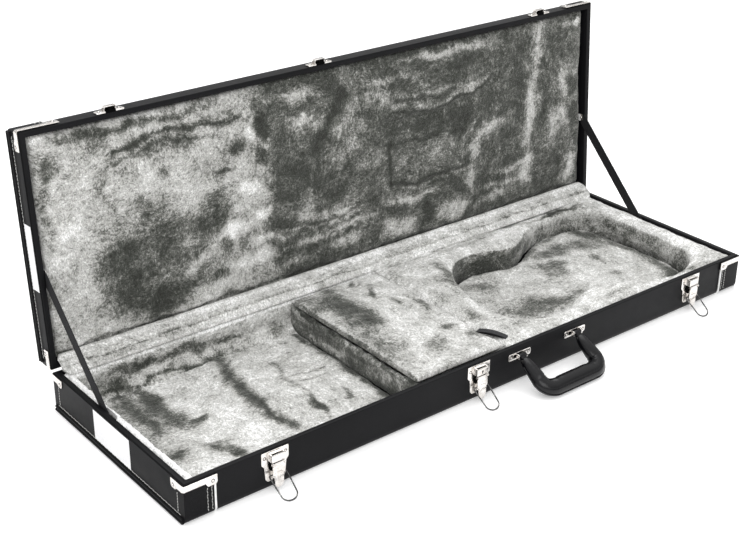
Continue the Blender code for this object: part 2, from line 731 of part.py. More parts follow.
def main():
    clear_scene()
    vinyl = make_material("black_vinyl", (0.012, 0.012, 0.014), 0.45)
    leather = make_material("black_leather", (0.015, 0.015, 0.016), 0.4)
    nickel = make_material("nickel", (0.82, 0.79, 0.74), 0.18, 1.0)
    plush = make_material("grey_plush", (0.52, 0.53, 0.5), 0.95)
    webbing = make_material("black_webbing", (0.02, 0.02, 0.022), 0.8)
    ribbon = make_material("black_ribbon", (0.01, 0.01, 0.012), 0.5)
    paper = make_material("white_label", (0.9, 0.9, 0.9), 0.6)

    lid = axis_empty("lid_axis", (0, AXIS_Y, AXIS_Z), -LID_OPEN_ANGLE)
    handle = axis_empty("handle_axis", (HANDLE_X, HANDLE_AXIS_Y, HANDLE_AXIS_Z), HANDLE_REST)

    for kind, parent in (("base", None), ("lid", lid)):
        shell(kind, vinyl, parent)
        for side in ("left", "right"):
            end_cap(kind, side, leather, parent)
            for end in ("front", "rear"):
                corner_clamp(kind, end, side, nickel, parent)
    label("base", 12 * MM, 57 * MM, paper, None)
    label("lid", LID_BOTTOM + 2 * MM, LID_TOP - 12 * MM, paper, lid)

    headstock_bay(plush)
    compartment(plush, ribbon)
    body_padding(plush)
    hinge_gusset(plush)
    lid_liner(plush, lid)

    for side in ("left", "right"):
        stay_strap(side, webbing, nickel, lid)
    for side, x in HINGES.items():
        hinge(side, x, nickel, lid)
    for side, x in LATCHES.items():
        latch_plate(side, x, nickel)
        lever = latch_lever(side, x, nickel)
        latch_bail(side, x, lever, nickel)
        latch_catch(side, x, nickel, lid)
    for side, sign in (("left", -1), ("right", 1)):
        handle_plate(side, HANDLE_X + sign * HANDLE_HALF, nickel)
    handle_grip(leather, handle)


main()
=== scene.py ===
"""Looks of the hard-shell guitar case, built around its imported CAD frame.

Everything is in metres, in the frame's coordinates. Lid pieces are drawn as if the lid were shut
and then turned open with SHUT_TO_OPEN.
"""

import json
import math

import bmesh
import bpy
import numpy as np
from mathutils import Euler, Matrix, Vector, noise


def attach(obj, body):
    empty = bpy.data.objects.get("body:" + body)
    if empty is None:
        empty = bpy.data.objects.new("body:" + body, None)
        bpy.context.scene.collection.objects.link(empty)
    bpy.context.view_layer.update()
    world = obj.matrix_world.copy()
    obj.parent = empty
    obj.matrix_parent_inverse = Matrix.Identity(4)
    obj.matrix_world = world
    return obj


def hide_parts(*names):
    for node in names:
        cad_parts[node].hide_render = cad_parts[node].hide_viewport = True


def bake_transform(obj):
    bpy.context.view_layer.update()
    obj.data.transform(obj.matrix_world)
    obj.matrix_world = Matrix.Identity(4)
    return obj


MM = 0.001
GAP = 0.3 * MM
SIDES = {"left": -1, "right": 1}
ENDS = {"front": -1, "rear": 1}

# Shell
LENGTH = 1070 * MM
WIDTH = 342 * MM
BASE_HEIGHT = 60 * MM
LID_BOTTOM = 60.3 * MM
LID_TOP = 93 * MM
SKIN = 1.2 * MM
PANEL = 6 * MM
EDGE_RADIUS = 9 * MM
FACE_X = 533.5 * MM
FACE_Y = 169.5 * MM
INSIDE_X = 525.5 * MM
INSIDE_Y = 161.5 * MM
FRONT = -FACE_Y
CAP_REACH = 45 * MM

# Padding
PAD_TOP = 57 * MM
PAD_REACH = 524.6 * MM
STRAP_Y = 33 * MM
STRAP_LOW_Z = 46 * MM
STRAP_HIGH_Z = LID_BOTTOM + 6 * MM
CAD_PAD_END = 518 * MM
BAY_FLOOR = 12 * MM
BAY_LEFT = -511.3 * MM
BAY_REAR = 147.7 * MM
BAY_FRONT = 154.2 * MM

# Hardware
SHEET = 1.2 * MM
CLAMP_HIGH = 58 * MM
CLAMP_LOW_LID = 62.3 * MM
CLAMP_FRONT_ARM = {"base": 48 * MM, "lid": 60 * MM}
CLAMP_END_ARM = 28 * MM
LATCHES = {"left": -400 * MM, "centre": -49 * MM, "right": 412 * MM}
LEVER_Y = FRONT - 9.5 * MM
LEVER_Z = 41 * MM
BAIL_Y = FRONT - 6 * MM
BAIL_Z = 24 * MM
BAIL_LENGTH = 39.7 * MM
WIRE = 0.9 * MM
HANDLE_X = 88 * MM
HANDLE_HALF = 57 * MM
GRIP_REACH = 63 * MM
HANDLE_Y = FRONT - 6 * MM
HANDLE_Z = 46 * MM
GRIP_DEPTH = 11.9 * MM
HINGES = {"left": -380 * MM, "centre": 0.0, "right": 380 * MM}

# Camera and studio
CAMERA_PLACE = (-1.2116, -1.3661, 1.0152)
CAMERA_HEADING = 39.09
CAMERA_PITCH = -26.12
CAMERA_ROLL = 0.72
CAMERA_LENS = 65.1
FLOOR_REACH = 55.0

# Frames of cloth simulation that inflate the plush
SIM_FRAMES = 20

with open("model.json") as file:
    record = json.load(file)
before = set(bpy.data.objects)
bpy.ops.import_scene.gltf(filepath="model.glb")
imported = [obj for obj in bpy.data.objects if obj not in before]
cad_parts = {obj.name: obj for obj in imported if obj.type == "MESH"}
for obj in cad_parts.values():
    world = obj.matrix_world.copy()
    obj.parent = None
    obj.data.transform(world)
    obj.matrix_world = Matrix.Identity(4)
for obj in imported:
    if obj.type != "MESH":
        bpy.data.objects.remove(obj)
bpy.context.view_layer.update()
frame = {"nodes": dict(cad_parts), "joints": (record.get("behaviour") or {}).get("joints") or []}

LID_JOINT = next(joint for joint in frame["joints"] if joint["name"] == "lid_hinge")
AXIS = Vector(LID_JOINT["pos_m"])
OPEN_ANGLE = math.radians(LID_JOINT["range_deg"][1])
SHUT_TO_OPEN = (
    Matrix.Translation(AXIS) @ Matrix.Rotation(-OPEN_ANGLE, 4, "X") @ Matrix.Translation(-AXIS)
)


# Materials


def fill_ramp(node, stops):
    """Gives a colour ramp its (position, colour) stops."""
    elements = node.color_ramp.elements
    while len(elements) < len(stops):
        elements.new(0.5)
    for element, (position, colour) in zip(elements, stops):
        element.position = position
        element.color = (*colour, 1.0)


class Surface:
    """A material with its node tree, and short ways to add nodes to it."""

    def __init__(self, name, colour, roughness, metallic=0.0):
        self.material = bpy.data.materials.new(name)
        self.material.use_nodes = True
        self.tree = self.material.node_tree
        self.shader = self.tree.nodes["Principled BSDF"]
        self.shader.inputs["Base Color"].default_value = (*colour, 1.0)
        self.shader.inputs["Roughness"].default_value = roughness
        self.shader.inputs["Metallic"].default_value = metallic
        self.place = self.tree.nodes.new("ShaderNodeTexCoord").outputs["Object"]

    def node(self, kind, settings=None, **inputs):
        made = self.tree.nodes.new(kind)
        for key, value in (settings or {}).items():
            setattr(made, key, value)
        for key, value in inputs.items():
            self.feed(made.inputs[key.replace("_", " ")], value)
        return made

    def feed(self, socket, value):
        if isinstance(value, bpy.types.NodeSocket):
            self.tree.links.new(value, socket)
        else:
            socket.default_value = value

    def stretched(self, scale, turn=(0, 0, 0), place=None):
        mapping = self.node(
            "ShaderNodeMapping", Vector=place or self.place, Scale=scale, Rotation=turn
        )
        return mapping.outputs["Vector"]

    def swirled(self, place, layers):
        """Coordinates pushed about by (scale, distance in metres) layers of noise."""
        for scale, distance in layers:
            push = self.node("ShaderNodeTexNoise", Vector=place, Scale=scale, Detail=2.0)
            centred = self.vector_math("SUBTRACT", push.outputs["Color"], (0.5, 0.5, 0.5))
            place = self.vector_math("ADD", place, self.vector_math("SCALE", centred, distance))
        return place

    def blended(self, share, a, b):
        made = self.node("ShaderNodeMix", {"data_type": "FLOAT"})
        self.feed(made.inputs[0], share)
        self.feed(made.inputs[2], a)
        self.feed(made.inputs[3], b)
        return made.outputs[0]

    def noise(self, scale, detail=3.0, roughness=0.55, distortion=0.0, place=None):
        made = self.node(
            "ShaderNodeTexNoise", Vector=place or self.place, Scale=scale, Detail=detail,
            Roughness=roughness, Distortion=distortion,
        )
        return made.outputs["Fac"]

    def cells(self, scale):
        made = self.node(
            "ShaderNodeTexVoronoi", {"feature": "SMOOTH_F1"}, Vector=self.place, Scale=scale
        )
        return made.outputs["Distance"]

    def wave(self, direction, scale, **inputs):
        made = self.node(
            "ShaderNodeTexWave", {"bands_direction": direction}, Vector=self.place, Scale=scale, **inputs
        )
        return made.outputs["Fac"]

    def vector_math(self, operation, vector, other):
        made = self.node("ShaderNodeVectorMath", {"operation": operation}, Vector=vector)
        self.feed(made.inputs["Scale" if operation == "SCALE" else 1], other)
        return made.outputs["Vector"]

    def math(self, operation, a, b=0.0):
        made = self.node("ShaderNodeMath", {"operation": operation})
        self.feed(made.inputs[0], a)
        self.feed(made.inputs[1], b)
        return made.outputs[0]

    def weighted(self, *terms):
        """The sum of value times weight, each value centred on 0.5 first."""
        total = 0.0
        for value, weight in terms:
            part = self.math("MULTIPLY", self.math("SUBTRACT", value, 0.5), weight)
            total = self.math("ADD", part, total)
        return total

    def ramp(self, value, stops):
        made = self.node("ShaderNodeValToRGB", Fac=value)
        fill_ramp(made, stops)
        return made.outputs["Color"]

    def remap(self, value, low, high, clamp=False):
        made = self.node("ShaderNodeMapRange", {"clamp": False}, Value=value, To_Min=low, To_Max=high)
        if not clamp:
            return made.outputs["Result"]
        return self.node("ShaderNodeClamp", Value=made.outputs["Result"]).outputs["Result"]

    def bump(self, height, strength, distance, below=None):
        made = self.node("ShaderNodeBump", Height=height, Strength=strength, Distance=distance)
        if below is not None:
            self.feed(made.inputs["Normal"], below)
        return made.outputs["Normal"]

    def set(self, **inputs):
        for key, value in inputs.items():
            self.feed(self.shader.inputs[key.replace("_", " ")], value)
        return self


def hide_material(name, dark, light, gloss, cell, specular):
    """Black leather or leather-grain vinyl: pebbled grain over broad soft unevenness."""
    surface = Surface(name, light, gloss)
    grain = surface.cells(1.0 / cell)
    fine = surface.noise(2.2 / cell, 4.0)
    broad = surface.noise(9.0, 3.0)
    mix = surface.math("ADD", 0.5, surface.weighted((broad, 0.8), (grain, 0.5)))
    relief = surface.bump(broad, 0.15, 2 * MM)
    relief = surface.bump(grain, 0.22, 0.3 * MM, relief)
    relief = surface.bump(fine, 0.12, 0.15 * MM, relief)
    surface.set(
        Base_Color=surface.ramp(mix, [(0.25, dark), (0.75, light)]),
        Roughness=surface.remap(surface.noise(60.0, 4.0), gloss - 0.07, gloss + 0.1),
        Specular_IOR_Level=specular,
        Normal=relief,
    )
    return surface.material


def nickel_material(name, shades):
    surface = Surface(name, shades[1], 0.2, 1.0)
    haze = surface.noise(120.0, 4.0, 0.6)
    scratches = surface.noise(60.0, 5.0, 0.7, 0.3, surface.stretched((1.0, 1.0, 14.0)))
    tint = surface.math("ADD", 0.5, surface.weighted((haze, 0.7), (scratches, 0.5)))
    surface.set(
        Base_Color=surface.ramp(tint, list(zip((0.25, 0.5, 0.75), shades))),
        Roughness=surface.remap(tint, 0.32, 0.14),
        Normal=surface.bump(scratches, 0.05, 0.2 * MM),
    )
    return surface.material


def plush_material():
    """Crushed plush: an attribute says how light each place is, from the plush's nap and from painted shade
    and highlights; noise breaks it into strokes.
    """
    surface = Surface("grey_plush", (0.5, 0.5, 0.48), 0.95)
    nap_and_painted_light = surface.node("ShaderNodeAttribute", {"attribute_name": "nap_and_painted_light"}).outputs["Fac"]
    swirl = surface.swirled(surface.place, ((7.0, 0.05), (38.0, 0.010)))
    clouds = surface.noise(26.0, 4.0, 0.6, 0.5, swirl)
    down = surface.noise(1.0, 3.0, 0.6, 0.0, surface.stretched((210.0, 90.0, 90.0), (0, 0, 0.15), swirl))
    along = surface.noise(1.0, 3.0, 0.6, 0.0, surface.stretched((80.0, 200.0, 200.0), (0, 0, 0), swirl))
    choice = surface.remap(surface.noise(5.5, 2.0), -4.0, 5.0, True)
    strokes = surface.blended(choice, down, along)
    crush = surface.noise(150.0, 3.0, 0.65, 1.2, swirl)
    tufts = surface.noise(400.0, 3.0, 0.7, 0.5, swirl)
    fibres = surface.noise(760.0, 2.0, 0.6, 0.0, surface.stretched((1.0, 0.4, 0.5), (0.4, 0.2, 0.5)))
    shade = surface.math(
        "ADD", nap_and_painted_light, surface.weighted((clouds, 0.85), (strokes, 0.5), (crush, 0.6), (tufts, 0.62)),
    )
    colour = surface.ramp(
        shade,
        [
            (0.05, (0.025, 0.026, 0.022)),
            (0.30, (0.052, 0.055, 0.048)),
            (0.47, (0.150, 0.152, 0.139)),
            (0.64, (0.400, 0.398, 0.380)),
            (0.88, (0.650, 0.648, 0.632)),
            (1.00, (0.860, 0.858, 0.850)),
        ],
    )
    speckle = surface.math("ADD", 1.0, surface.weighted((tufts, 1.1), (fibres, 0.9)))
    relief = surface.bump(strokes, 0.25, 3 * MM)
    relief = surface.bump(crush, 0.4, 2.5 * MM, relief)
    relief = surface.bump(tufts, 0.6, 2.0 * MM, relief)
    relief = surface.bump(fibres, 0.6, 1.0 * MM, relief)
    surface.set(
        Base_Color=surface.vector_math("SCALE", colour, speckle),
        Normal=relief,
        Sheen_Weight=0.25,
        Sheen_Roughness=0.5,
        Sheen_Tint=(0.92, 0.92, 0.9, 1.0),
        Specular_IOR_Level=0.1,
    )
    return surface.material


def webbing_material():
    surface = Surface("black_webbing", (0.016, 0.016, 0.018), 0.8)
    weave = surface.wave("DIAGONAL", 420.0, Distortion=1.5, Detail=2.0)
    fuzz = surface.noise(900.0, 3.0)
    surface.set(
        Base_Color=surface.ramp(weave, [(0.1, (0.007, 0.007, 0.008)), (0.9, (0.03, 0.03, 0.032))]),
        Normal=surface.bump(fuzz, 0.3, 0.3 * MM, surface.bump(weave, 0.6, 0.5 * MM)),
        Specular_IOR_Level=0.2,
    )
    return surface.material


def ribbon_material():
    surface = Surface("black_ribbon", (0.008, 0.008, 0.01), 0.5)
    ribs = surface.wave("Y", 300.0, Distortion=0.8)
    surface.set(
        Base_Color=surface.ramp(ribs, [(0.1, (0.004, 0.004, 0.005)), (0.9, (0.018, 0.018, 0.02))]),
        Roughness=surface.remap(surface.noise(90.0), 0.4, 0.65),
        Normal=surface.bump(ribs, 0.3, 0.3 * MM),
    )
    return surface.material


def thread_material():
    surface = Surface("white_thread", (0.55, 0.55, 0.53), 0.8)
    twist = surface.noise(1500.0, 2.0)
    surface.set(
        Base_Color=surface.ramp(twist, [(0.3, (0.34, 0.34, 0.33)), (0.7, (0.72, 0.72, 0.70))]),
        Normal=surface.bump(twist, 0.4, 0.2 * MM),
    )
    return surface.material


def piping_material():
    surface = Surface("white_piping", (0.82, 0.82, 0.81), 0.35)
    wear = surface.noise(150.0, 4.0)
    surface.set(
        Base_Color=surface.ramp(wear, [(0.3, (0.62, 0.62, 0.61)), (0.6, (0.82, 0.82, 0.81))]),
        Roughness=surface.remap(wear, 0.3, 0.5),
        Normal=surface.bump(wear, 0.1, 0.3 * MM),
    )
    return surface.material


def paper_material():
    surface = Surface("white_label", (0.7, 0.7, 0.71), 0.6)
    pulp = surface.noise(260.0, 5.0, 0.7)
    surface.set(
        Base_Color=surface.ramp(pulp, [(0.25, (0.76, 0.76, 0.77)), (0.6, (0.86, 0.86, 0.87))]),
        Roughness=surface.remap(pulp, 0.5, 0.75),
        Normal=surface.bump(surface.noise(18.0, 3.0), 0.2, 0.6 * MM),
    )
    return surface.material


def floor_material():
    surface = Surface("studio_floor", (0.9, 0.9, 0.9), 0.6)
    surface.set(
        Specular_IOR_Level=0.05, Emission_Color=(1.0, 1.0, 1.0, 1.0), Emission_Strength=0.24
    )
    return surface.material


VINYL = hide_material(
    "black_vinyl", (0.0040, 0.0040, 0.0047), (0.0085, 0.0085, 0.0097), 0.42, 1.0 * MM, 0.11
)
LEATHER = hide_material(
    "black_leather", (0.0055, 0.0055, 0.0060), (0.0110, 0.0110, 0.0120), 0.36, 1.5 * MM, 0.05
)
GRIP_LEATHER = hide_material(
    "handle_leather", (0.0016, 0.0016, 0.0021), (0.0042, 0.0042, 0.0054), 0.21, 1.2 * MM, 0.32
)
NICKEL = nickel_material(
    "polished_nickel", [(0.46, 0.42, 0.38), (0.78, 0.75, 0.72), (0.90, 0.885, 0.87)]
)
# The wire's nickel is painted near black with lighter patches: painted reflections of dark and bright
# surroundings.
WIRE_NICKEL_PAINTED_DARK = nickel_material(
    "nickel_wire_painted_reflections", [(0.03, 0.03, 0.03), (0.10, 0.10, 0.10), (0.62, 0.61, 0.60)]
)
PLUSH = plush_material()
WEBBING = webbing_material()
RIBBON = ribbon_material()
THREAD = thread_material()
PIPING = piping_material()
PAPER = paper_material()
# Near-black material for painted shade in holes, slots, gaps and recesses
SHADE_PAINT = Surface("painted_shade_black", (0.003, 0.003, 0.003), 0.8).set(Specular_IOR_Level=0.02).material


# Mesh helpers

ROD_SIDES = 20
DOME_SIDES = 14


def placed(name, data):
    """A new object in the scene."""
    obj = bpy.data.objects.new(name, data)
    bpy.context.scene.collection.objects.link(obj)
    return obj


def bridge(bm, loops):
    """Joins closed loops of vertices that follow each other."""
    for loop, following in zip(loops, loops[1:]):
        for k in range(len(loop)):
            j = (k + 1) % len(loop)
            bm.faces.new((loop[k], loop[j], following[j], following[k]))


def tube(bm, rings):
    """Adds a skin over rings of points, closed at both ends."""
    loops = [[bm.verts.new(spot) for spot in ring] for ring in rings]
    bridge(bm, loops)
    bm.faces.new(list(reversed(loops[0])))
    bm.faces.new(loops[-1])
    return bm


def heading(points, i):
    """The direction of a line of points at one of them."""
    return (points[min(i + 1, len(points) - 1)] - points[max(i - 1, 0)]).normalized()


def ring_points(centre, side, other, radius, count):
    angles = [2 * math.pi * k / count for k in range(count)]
    return [centre + (side * math.cos(a) + other * math.sin(a)) * radius for a in angles]


def prism(outline, axis, start, end):
    """A 2D outline pushed along an axis: (y, z) for X, (x, z) for Y, (x, y) for Z."""
    place = {
        "X": lambda u, v, w: (w, u, v),
        "Y": lambda u, v, w: (u, w, v),
        "Z": lambda u, v, w: (u, v, w),
    }[axis]
    bm = tube(bmesh.new(), [[place(u, v, depth) for u, v in outline] for depth in (start, end)])
    bmesh.ops.recalc_face_normals(bm, faces=bm.faces)
    return bm


def box(low, high):
    """A rectangle as an outline."""
    return [low, (high[0], low[1]), high, (low[0], high[1])]


def block(low, high):
    return prism(box(low[:2], high[:2]), "Z", low[2], high[2])


def rounded(points, radius, steps=4):
    """The outline with each corner cut to a curve."""
    made = []
    count = len(points)
    for i in range(count):
        corner = Vector(points[i])
        ends = []
        for other in (points[i - 1], points[(i + 1) % count]):
            along = Vector(other) - corner
            ends.append(corner + along.normalized() * min(radius, along.length * 0.45))
        for step in range(steps + 1):
            t = step / steps
            spot = ends[0] * (1 - t) ** 2 + corner * 2 * t * (1 - t) + ends[1] * t * t
            made.append((spot.x, spot.y))
    return made


def scaled(points):
    return [(u * MM, v * MM) for u, v in points]


def rod(centre, radius, start, end):
    """A round bar along X; centre is (y, z)."""
    angles = [2 * math.pi * i / ROD_SIDES for i in range(ROD_SIDES)]
    circle = [(centre[0] + radius * math.cos(a), centre[1] + radius * math.sin(a)) for a in angles]
    return prism(circle, "X", start, end)


def sweep(bm, points, radius, sides):
    """Adds a round bar along a line of points."""
    side = None
    rings = []
    for i, point in enumerate(points):
        along = heading(points, i)
        if side is None:
            side = along.orthogonal().normalized()
        side = (side - along * side.dot(along)).normalized()
        rings.append(ring_points(point, side, along.cross(side), radius, sides))
    return tube(bm, rings)


def dome(bm, centre, outward, radius, height):
    """Adds a low domed head, such as a rivet's."""
    outward = Vector(outward).normalized()
    side = outward.orthogonal().normalized()
    centre, other = Vector(centre), outward.cross(side)
    loops = []
    for share, rise in ((1.0, -0.4), (1.0, 0.0), (0.86, 0.45), (0.6, 0.78), (0.3, 0.95)):
        ring = ring_points(centre + outward * height * rise, side, other, radius * share, DOME_SIDES)
        loops.append([bm.verts.new(spot) for spot in ring])
    bridge(bm, loops)
    tip = bm.verts.new(centre + outward * height)
    for k in range(DOME_SIDES):
        bm.faces.new((loops[-1][k], loops[-1][(k + 1) % DOME_SIDES], tip))
    bm.faces.new(list(reversed(loops[0])))
    return bm


def combine(bodies, cutters=()):
    """One solid from overlapping bodies, less the cutters."""
    helpers = []
    for body in [*bodies, *cutters]:
        mesh = bpy.data.meshes.new("helper")
        body.to_mesh(mesh)
        body.free()
        helpers.append(placed("helper", mesh))
    first = helpers[0]
    for number, helper in enumerate(helpers[1:], 1):
        modifier = first.modifiers.new("Boolean", "BOOLEAN")
        modifier.operation = "UNION" if number < len(bodies) else "DIFFERENCE"
        modifier.object = helper
    graph = bpy.context.evaluated_depsgraph_get()
    evaluated = first.evaluated_get(graph)
    result = bmesh.new()
    result.from_mesh(evaluated.to_mesh())
    evaluated.to_mesh_clear()
    bmesh.ops.remove_doubles(result, verts=result.verts, dist=1e-6)
    bmesh.ops.dissolve_limit(
        result, angle_limit=math.radians(1), verts=result.verts, edges=result.edges
    )
    for helper in helpers:
        bpy.data.objects.remove(helper)
    return result


def soften(bm, width, segments=2, least=30.0):
    """Rounds every edge sharper than an angle."""
    bm.normal_update()
    edges = [
        edge
        for edge in bm.edges
        if len(edge.link_faces) == 2 and edge.calc_face_angle(0) > math.radians(least)
    ]
    bmesh.ops.bevel(
        bm, geom=edges, offset=width, segments=segments, profile=0.5, affect="EDGES",
        clamp_overlap=True,
    )
    return bm


def painted_in_shade(bm):
    """The same parts in the second, near-black material of their piece: painted shade."""
    for face in bm.faces:
        face.material_index = 1
    return bm


def rivet(bm, centre, outward, radius, height):
    """A domed rivet on a near-black disc, painted shade for its hole."""
    painted_hole_shade = bmesh.new()
    dome(painted_hole_shade, centre, outward, radius + 0.75 * MM, 0.25 * MM)
    for face in painted_in_shade(painted_hole_shade).faces:
        face.smooth = False
    both = merged(bm, painted_hole_shade)
    dome(both, centre, outward, radius, height)
    return both


def merged(*parts):
    """Several bmeshes in one, without joining their surfaces."""
    result = bmesh.new()
    for part in parts:
        mesh = bpy.data.meshes.new("part")
        part.to_mesh(mesh)
        part.free()
        result.from_mesh(mesh)
        bpy.data.meshes.remove(mesh)
    return result


def shifted(bm, x):
    bmesh.ops.translate(bm, verts=bm.verts, vec=(x, 0, 0))
    return bm


def piece(name, bm, material, body, nodes=(), place=None, sharp=40.0):
    """A piece from a bmesh, riding on a body and standing for CAD nodes; the lid's is turned open."""
    bmesh.ops.recalc_face_normals(bm, faces=bm.faces)
    mesh = bpy.data.meshes.new(name)
    bm.to_mesh(mesh)
    bm.free()
    if place is not None:
        mesh.transform(place)
    if body == "lid":
        mesh.transform(SHUT_TO_OPEN)
    mesh.polygons.foreach_set("use_smooth", [True] * len(mesh.polygons))
    mesh.set_sharp_from_angle(angle=math.radians(sharp))
    mesh.materials.append(material)
    mesh.materials.append(SHADE_PAINT)
    obj = placed(name, mesh)
    if body is not None:
        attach(obj, body)
    if nodes:
        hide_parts(*nodes)
    return obj


def dress(node, material):
    """Gives a CAD node that stays its material."""
    materials = frame["nodes"][node].data.materials
    materials.clear()
    materials.append(material)


# Shell


def section(half_width, radius, top, steps=8):
    """Cross-section under the rim as (y, z), with rounded long edges."""
    centre = (-half_width + radius, EDGE_RADIUS)
    half = [(-half_width, top)]
    for i in range(steps + 1):
        angle = math.pi + math.pi / 2 * i / steps
        half.append((centre[0] + radius * math.cos(angle), centre[1] + radius * math.sin(angle)))
    return half + [(-y, z) for y, z in reversed(half)]


def level(kind, z):
    """A height in the base, or the same one counted down from the lid's top."""
    return z if kind == "base" else LID_TOP - z


def for_kind(kind, outline):
    """Turns a base cross-section upside down for the lid."""
    return [(y, level(kind, z)) for y, z in outline]


def depth_of(kind):
    return BASE_HEIGHT if kind == "base" else LID_TOP - LID_BOTTOM


def covering(kind):
    """The vinyl over the plywood tray and its end boards."""
    top = depth_of(kind)
    outer_section = [(y, max(z - 1.5 * MM, 0.0)) if z < 5 * MM else (y, z) for y, z in
                     section(FACE_Y, EDGE_RADIUS - 1.5 * MM, top)]
    outer = prism(for_kind(kind, outer_section), "X", -FACE_X, FACE_X)
    well = box((-INSIDE_Y, PANEL), (INSIDE_Y, top + 20 * MM))
    inner = prism(for_kind(kind, well), "X", -INSIDE_X, INSIDE_X)
    solid = soften(combine([outer], [inner]), 1.2 * MM, 3)
    nodes = [f"{kind}_shell", f"{kind}_left_end", f"{kind}_right_end"]
    piece(f"{kind}_covering", solid, VINYL, kind, nodes)


def end_cap(kind, side):
    """The leather cap over an end, its welt, its piping and its stitching."""
    sign = SIDES[side]
    top = depth_of(kind) - 1 * MM
    outside = sign * LENGTH / 2
    border = sign * (LENGTH / 2 - CAP_REACH)
    half = WIDTH / 2
    sheet = prism(for_kind(kind, section(half, EDGE_RADIUS, top)), "X", outside, border)
    hollow = prism(
        for_kind(kind, section(half - SKIN, EDGE_RADIUS - SKIN, top + 10 * MM)), "X",
        outside - sign * SKIN, border - sign * 20 * MM,
    )
    flat = half - EDGE_RADIUS
    strip = box((-flat, -5 * MM), (flat, SKIN + GAP))
    opening = prism(for_kind(kind, strip), "X", outside - sign * SKIN, border - sign * 20 * MM)
    solid = combine([sheet], [hollow, opening])
    corners = [
        edge for edge in solid.edges
        if all(abs(v.co.x - outside) < 1e-5 and abs(abs(v.co.y) - half) < 1e-5 for v in edge.verts)
    ]
    bmesh.ops.bevel(
        solid, geom=corners, offset=3 * MM, segments=5, profile=0.5, affect="EDGES", clamp_overlap=True
    )
    soften(solid, 0.4 * MM, 2)
    name = f"{kind}_{side}_leather_cap"
    piece(name, solid, LEATHER, kind, [f"{kind}_{side}_end_cap"])

    welt_half = half - 4 * MM
    ridges = bmesh.new()
    for height, radius, out in ((3.0, 2.6, 1.1), (7.9, 2.2, 0.9)):
        line = []
        for i in range(61):
            y = -welt_half + 2 * welt_half * i / 60
            wander = 0.25 * MM * noise.noise(Vector((y * 60, height, sign)))
            z = level(kind, height * MM + wander)
            line.append(Vector((outside + sign * out * MM, y, z)))
        sweep(ridges, line, radius * MM, 12)
    piece(f"{kind}_{side}_welt", ridges, LEATHER, kind)

    piping = bmesh.new()
    start = depth_of(kind) - 15.5 * MM
    for across in (-1, 1):
        line = []
        for y, z in section(half - 0.4 * MM, EDGE_RADIUS - 0.2 * MM, start, 10)[:12]:
            line.append((across * -y, max(z, 1.7 * MM)))
        line.append((across * (half - 12 * MM), 1.7 * MM))
        line = for_kind(kind, line)
        sweep(piping, [Vector((border, y, z)) for y, z in line], 1.6 * MM, 10)
    piece(f"{kind}_{side}_piping", piping, PIPING, kind)
    stitching(kind, side, sign, outside, half)


def stitch_row(bm, line, outward, length, step, wobble=0.3 * MM):
    """Adds dashes of thread along a line of points on a surface."""
    outward = Vector(outward)
    spans = [(b - a).length for a, b in zip(line, line[1:])]
    total = sum(spans)
    count = int(total / step)

    def at(distance):
        for (a, b), span in zip(zip(line, line[1:]), spans):
            if distance <= span:
                return a.lerp(b, distance / span), (b - a).normalized()
            distance -= span
        return line[-1], (line[-1] - line[-2]).normalized()

    for i in range(count):
        begin = i * step + 0.4 * step
        side = at(begin)[1].cross(outward) * wobble * (1 if i % 2 else -1)
        points = []
        for share, lift in ((0.0, -0.35), (0.2, 0.2), (0.8, 0.2), (1.0, -0.35)):
            spot = at(min(begin + length * share, total))[0]
            points.append(spot + outward * lift * MM + side * (1 if share < 0.5 else -1))
        sweep(bm, points, 0.4 * MM, 5)


def stitching(kind, side, sign, outside, half):
    """Rows beside the piping, up the corners of the end, and along the welt."""
    bm = bmesh.new()
    low = level(kind, 8 * MM)
    high = level(kind, (44 if kind == "base" else 17) * MM)
    for across in (-1, 1):
        for reach in (33.5 * MM, 40 * MM):
            x = outside - sign * reach
            y = across * (half + 0.15 * MM)
            line = [Vector((x, y, high)), Vector((x, y, low))]
            stitch_row(bm, line, (0, across, 0), 3.2 * MM, 4.4 * MM)
        x = outside + sign * 0.15 * MM
        y = across * (half - 15 * MM)
        line = [Vector((x, y, high)), Vector((x, y, level(kind, 11.5 * MM)))]
        stitch_row(bm, line, (sign, 0, 0), 3.2 * MM, 4.2 * MM, 0.1 * MM)
    x = outside + sign * 0.3 * MM
    z = level(kind, 11.7 * MM)
    line = [Vector((x, -half + 8 * MM, z)), Vector((x, half - 8 * MM, z))]
    stitch_row(bm, line, (sign, 0, 0), 4.0 * MM, 5.2 * MM)
    piece(f"{kind}_{side}_stitching", bm, THREAD, kind)


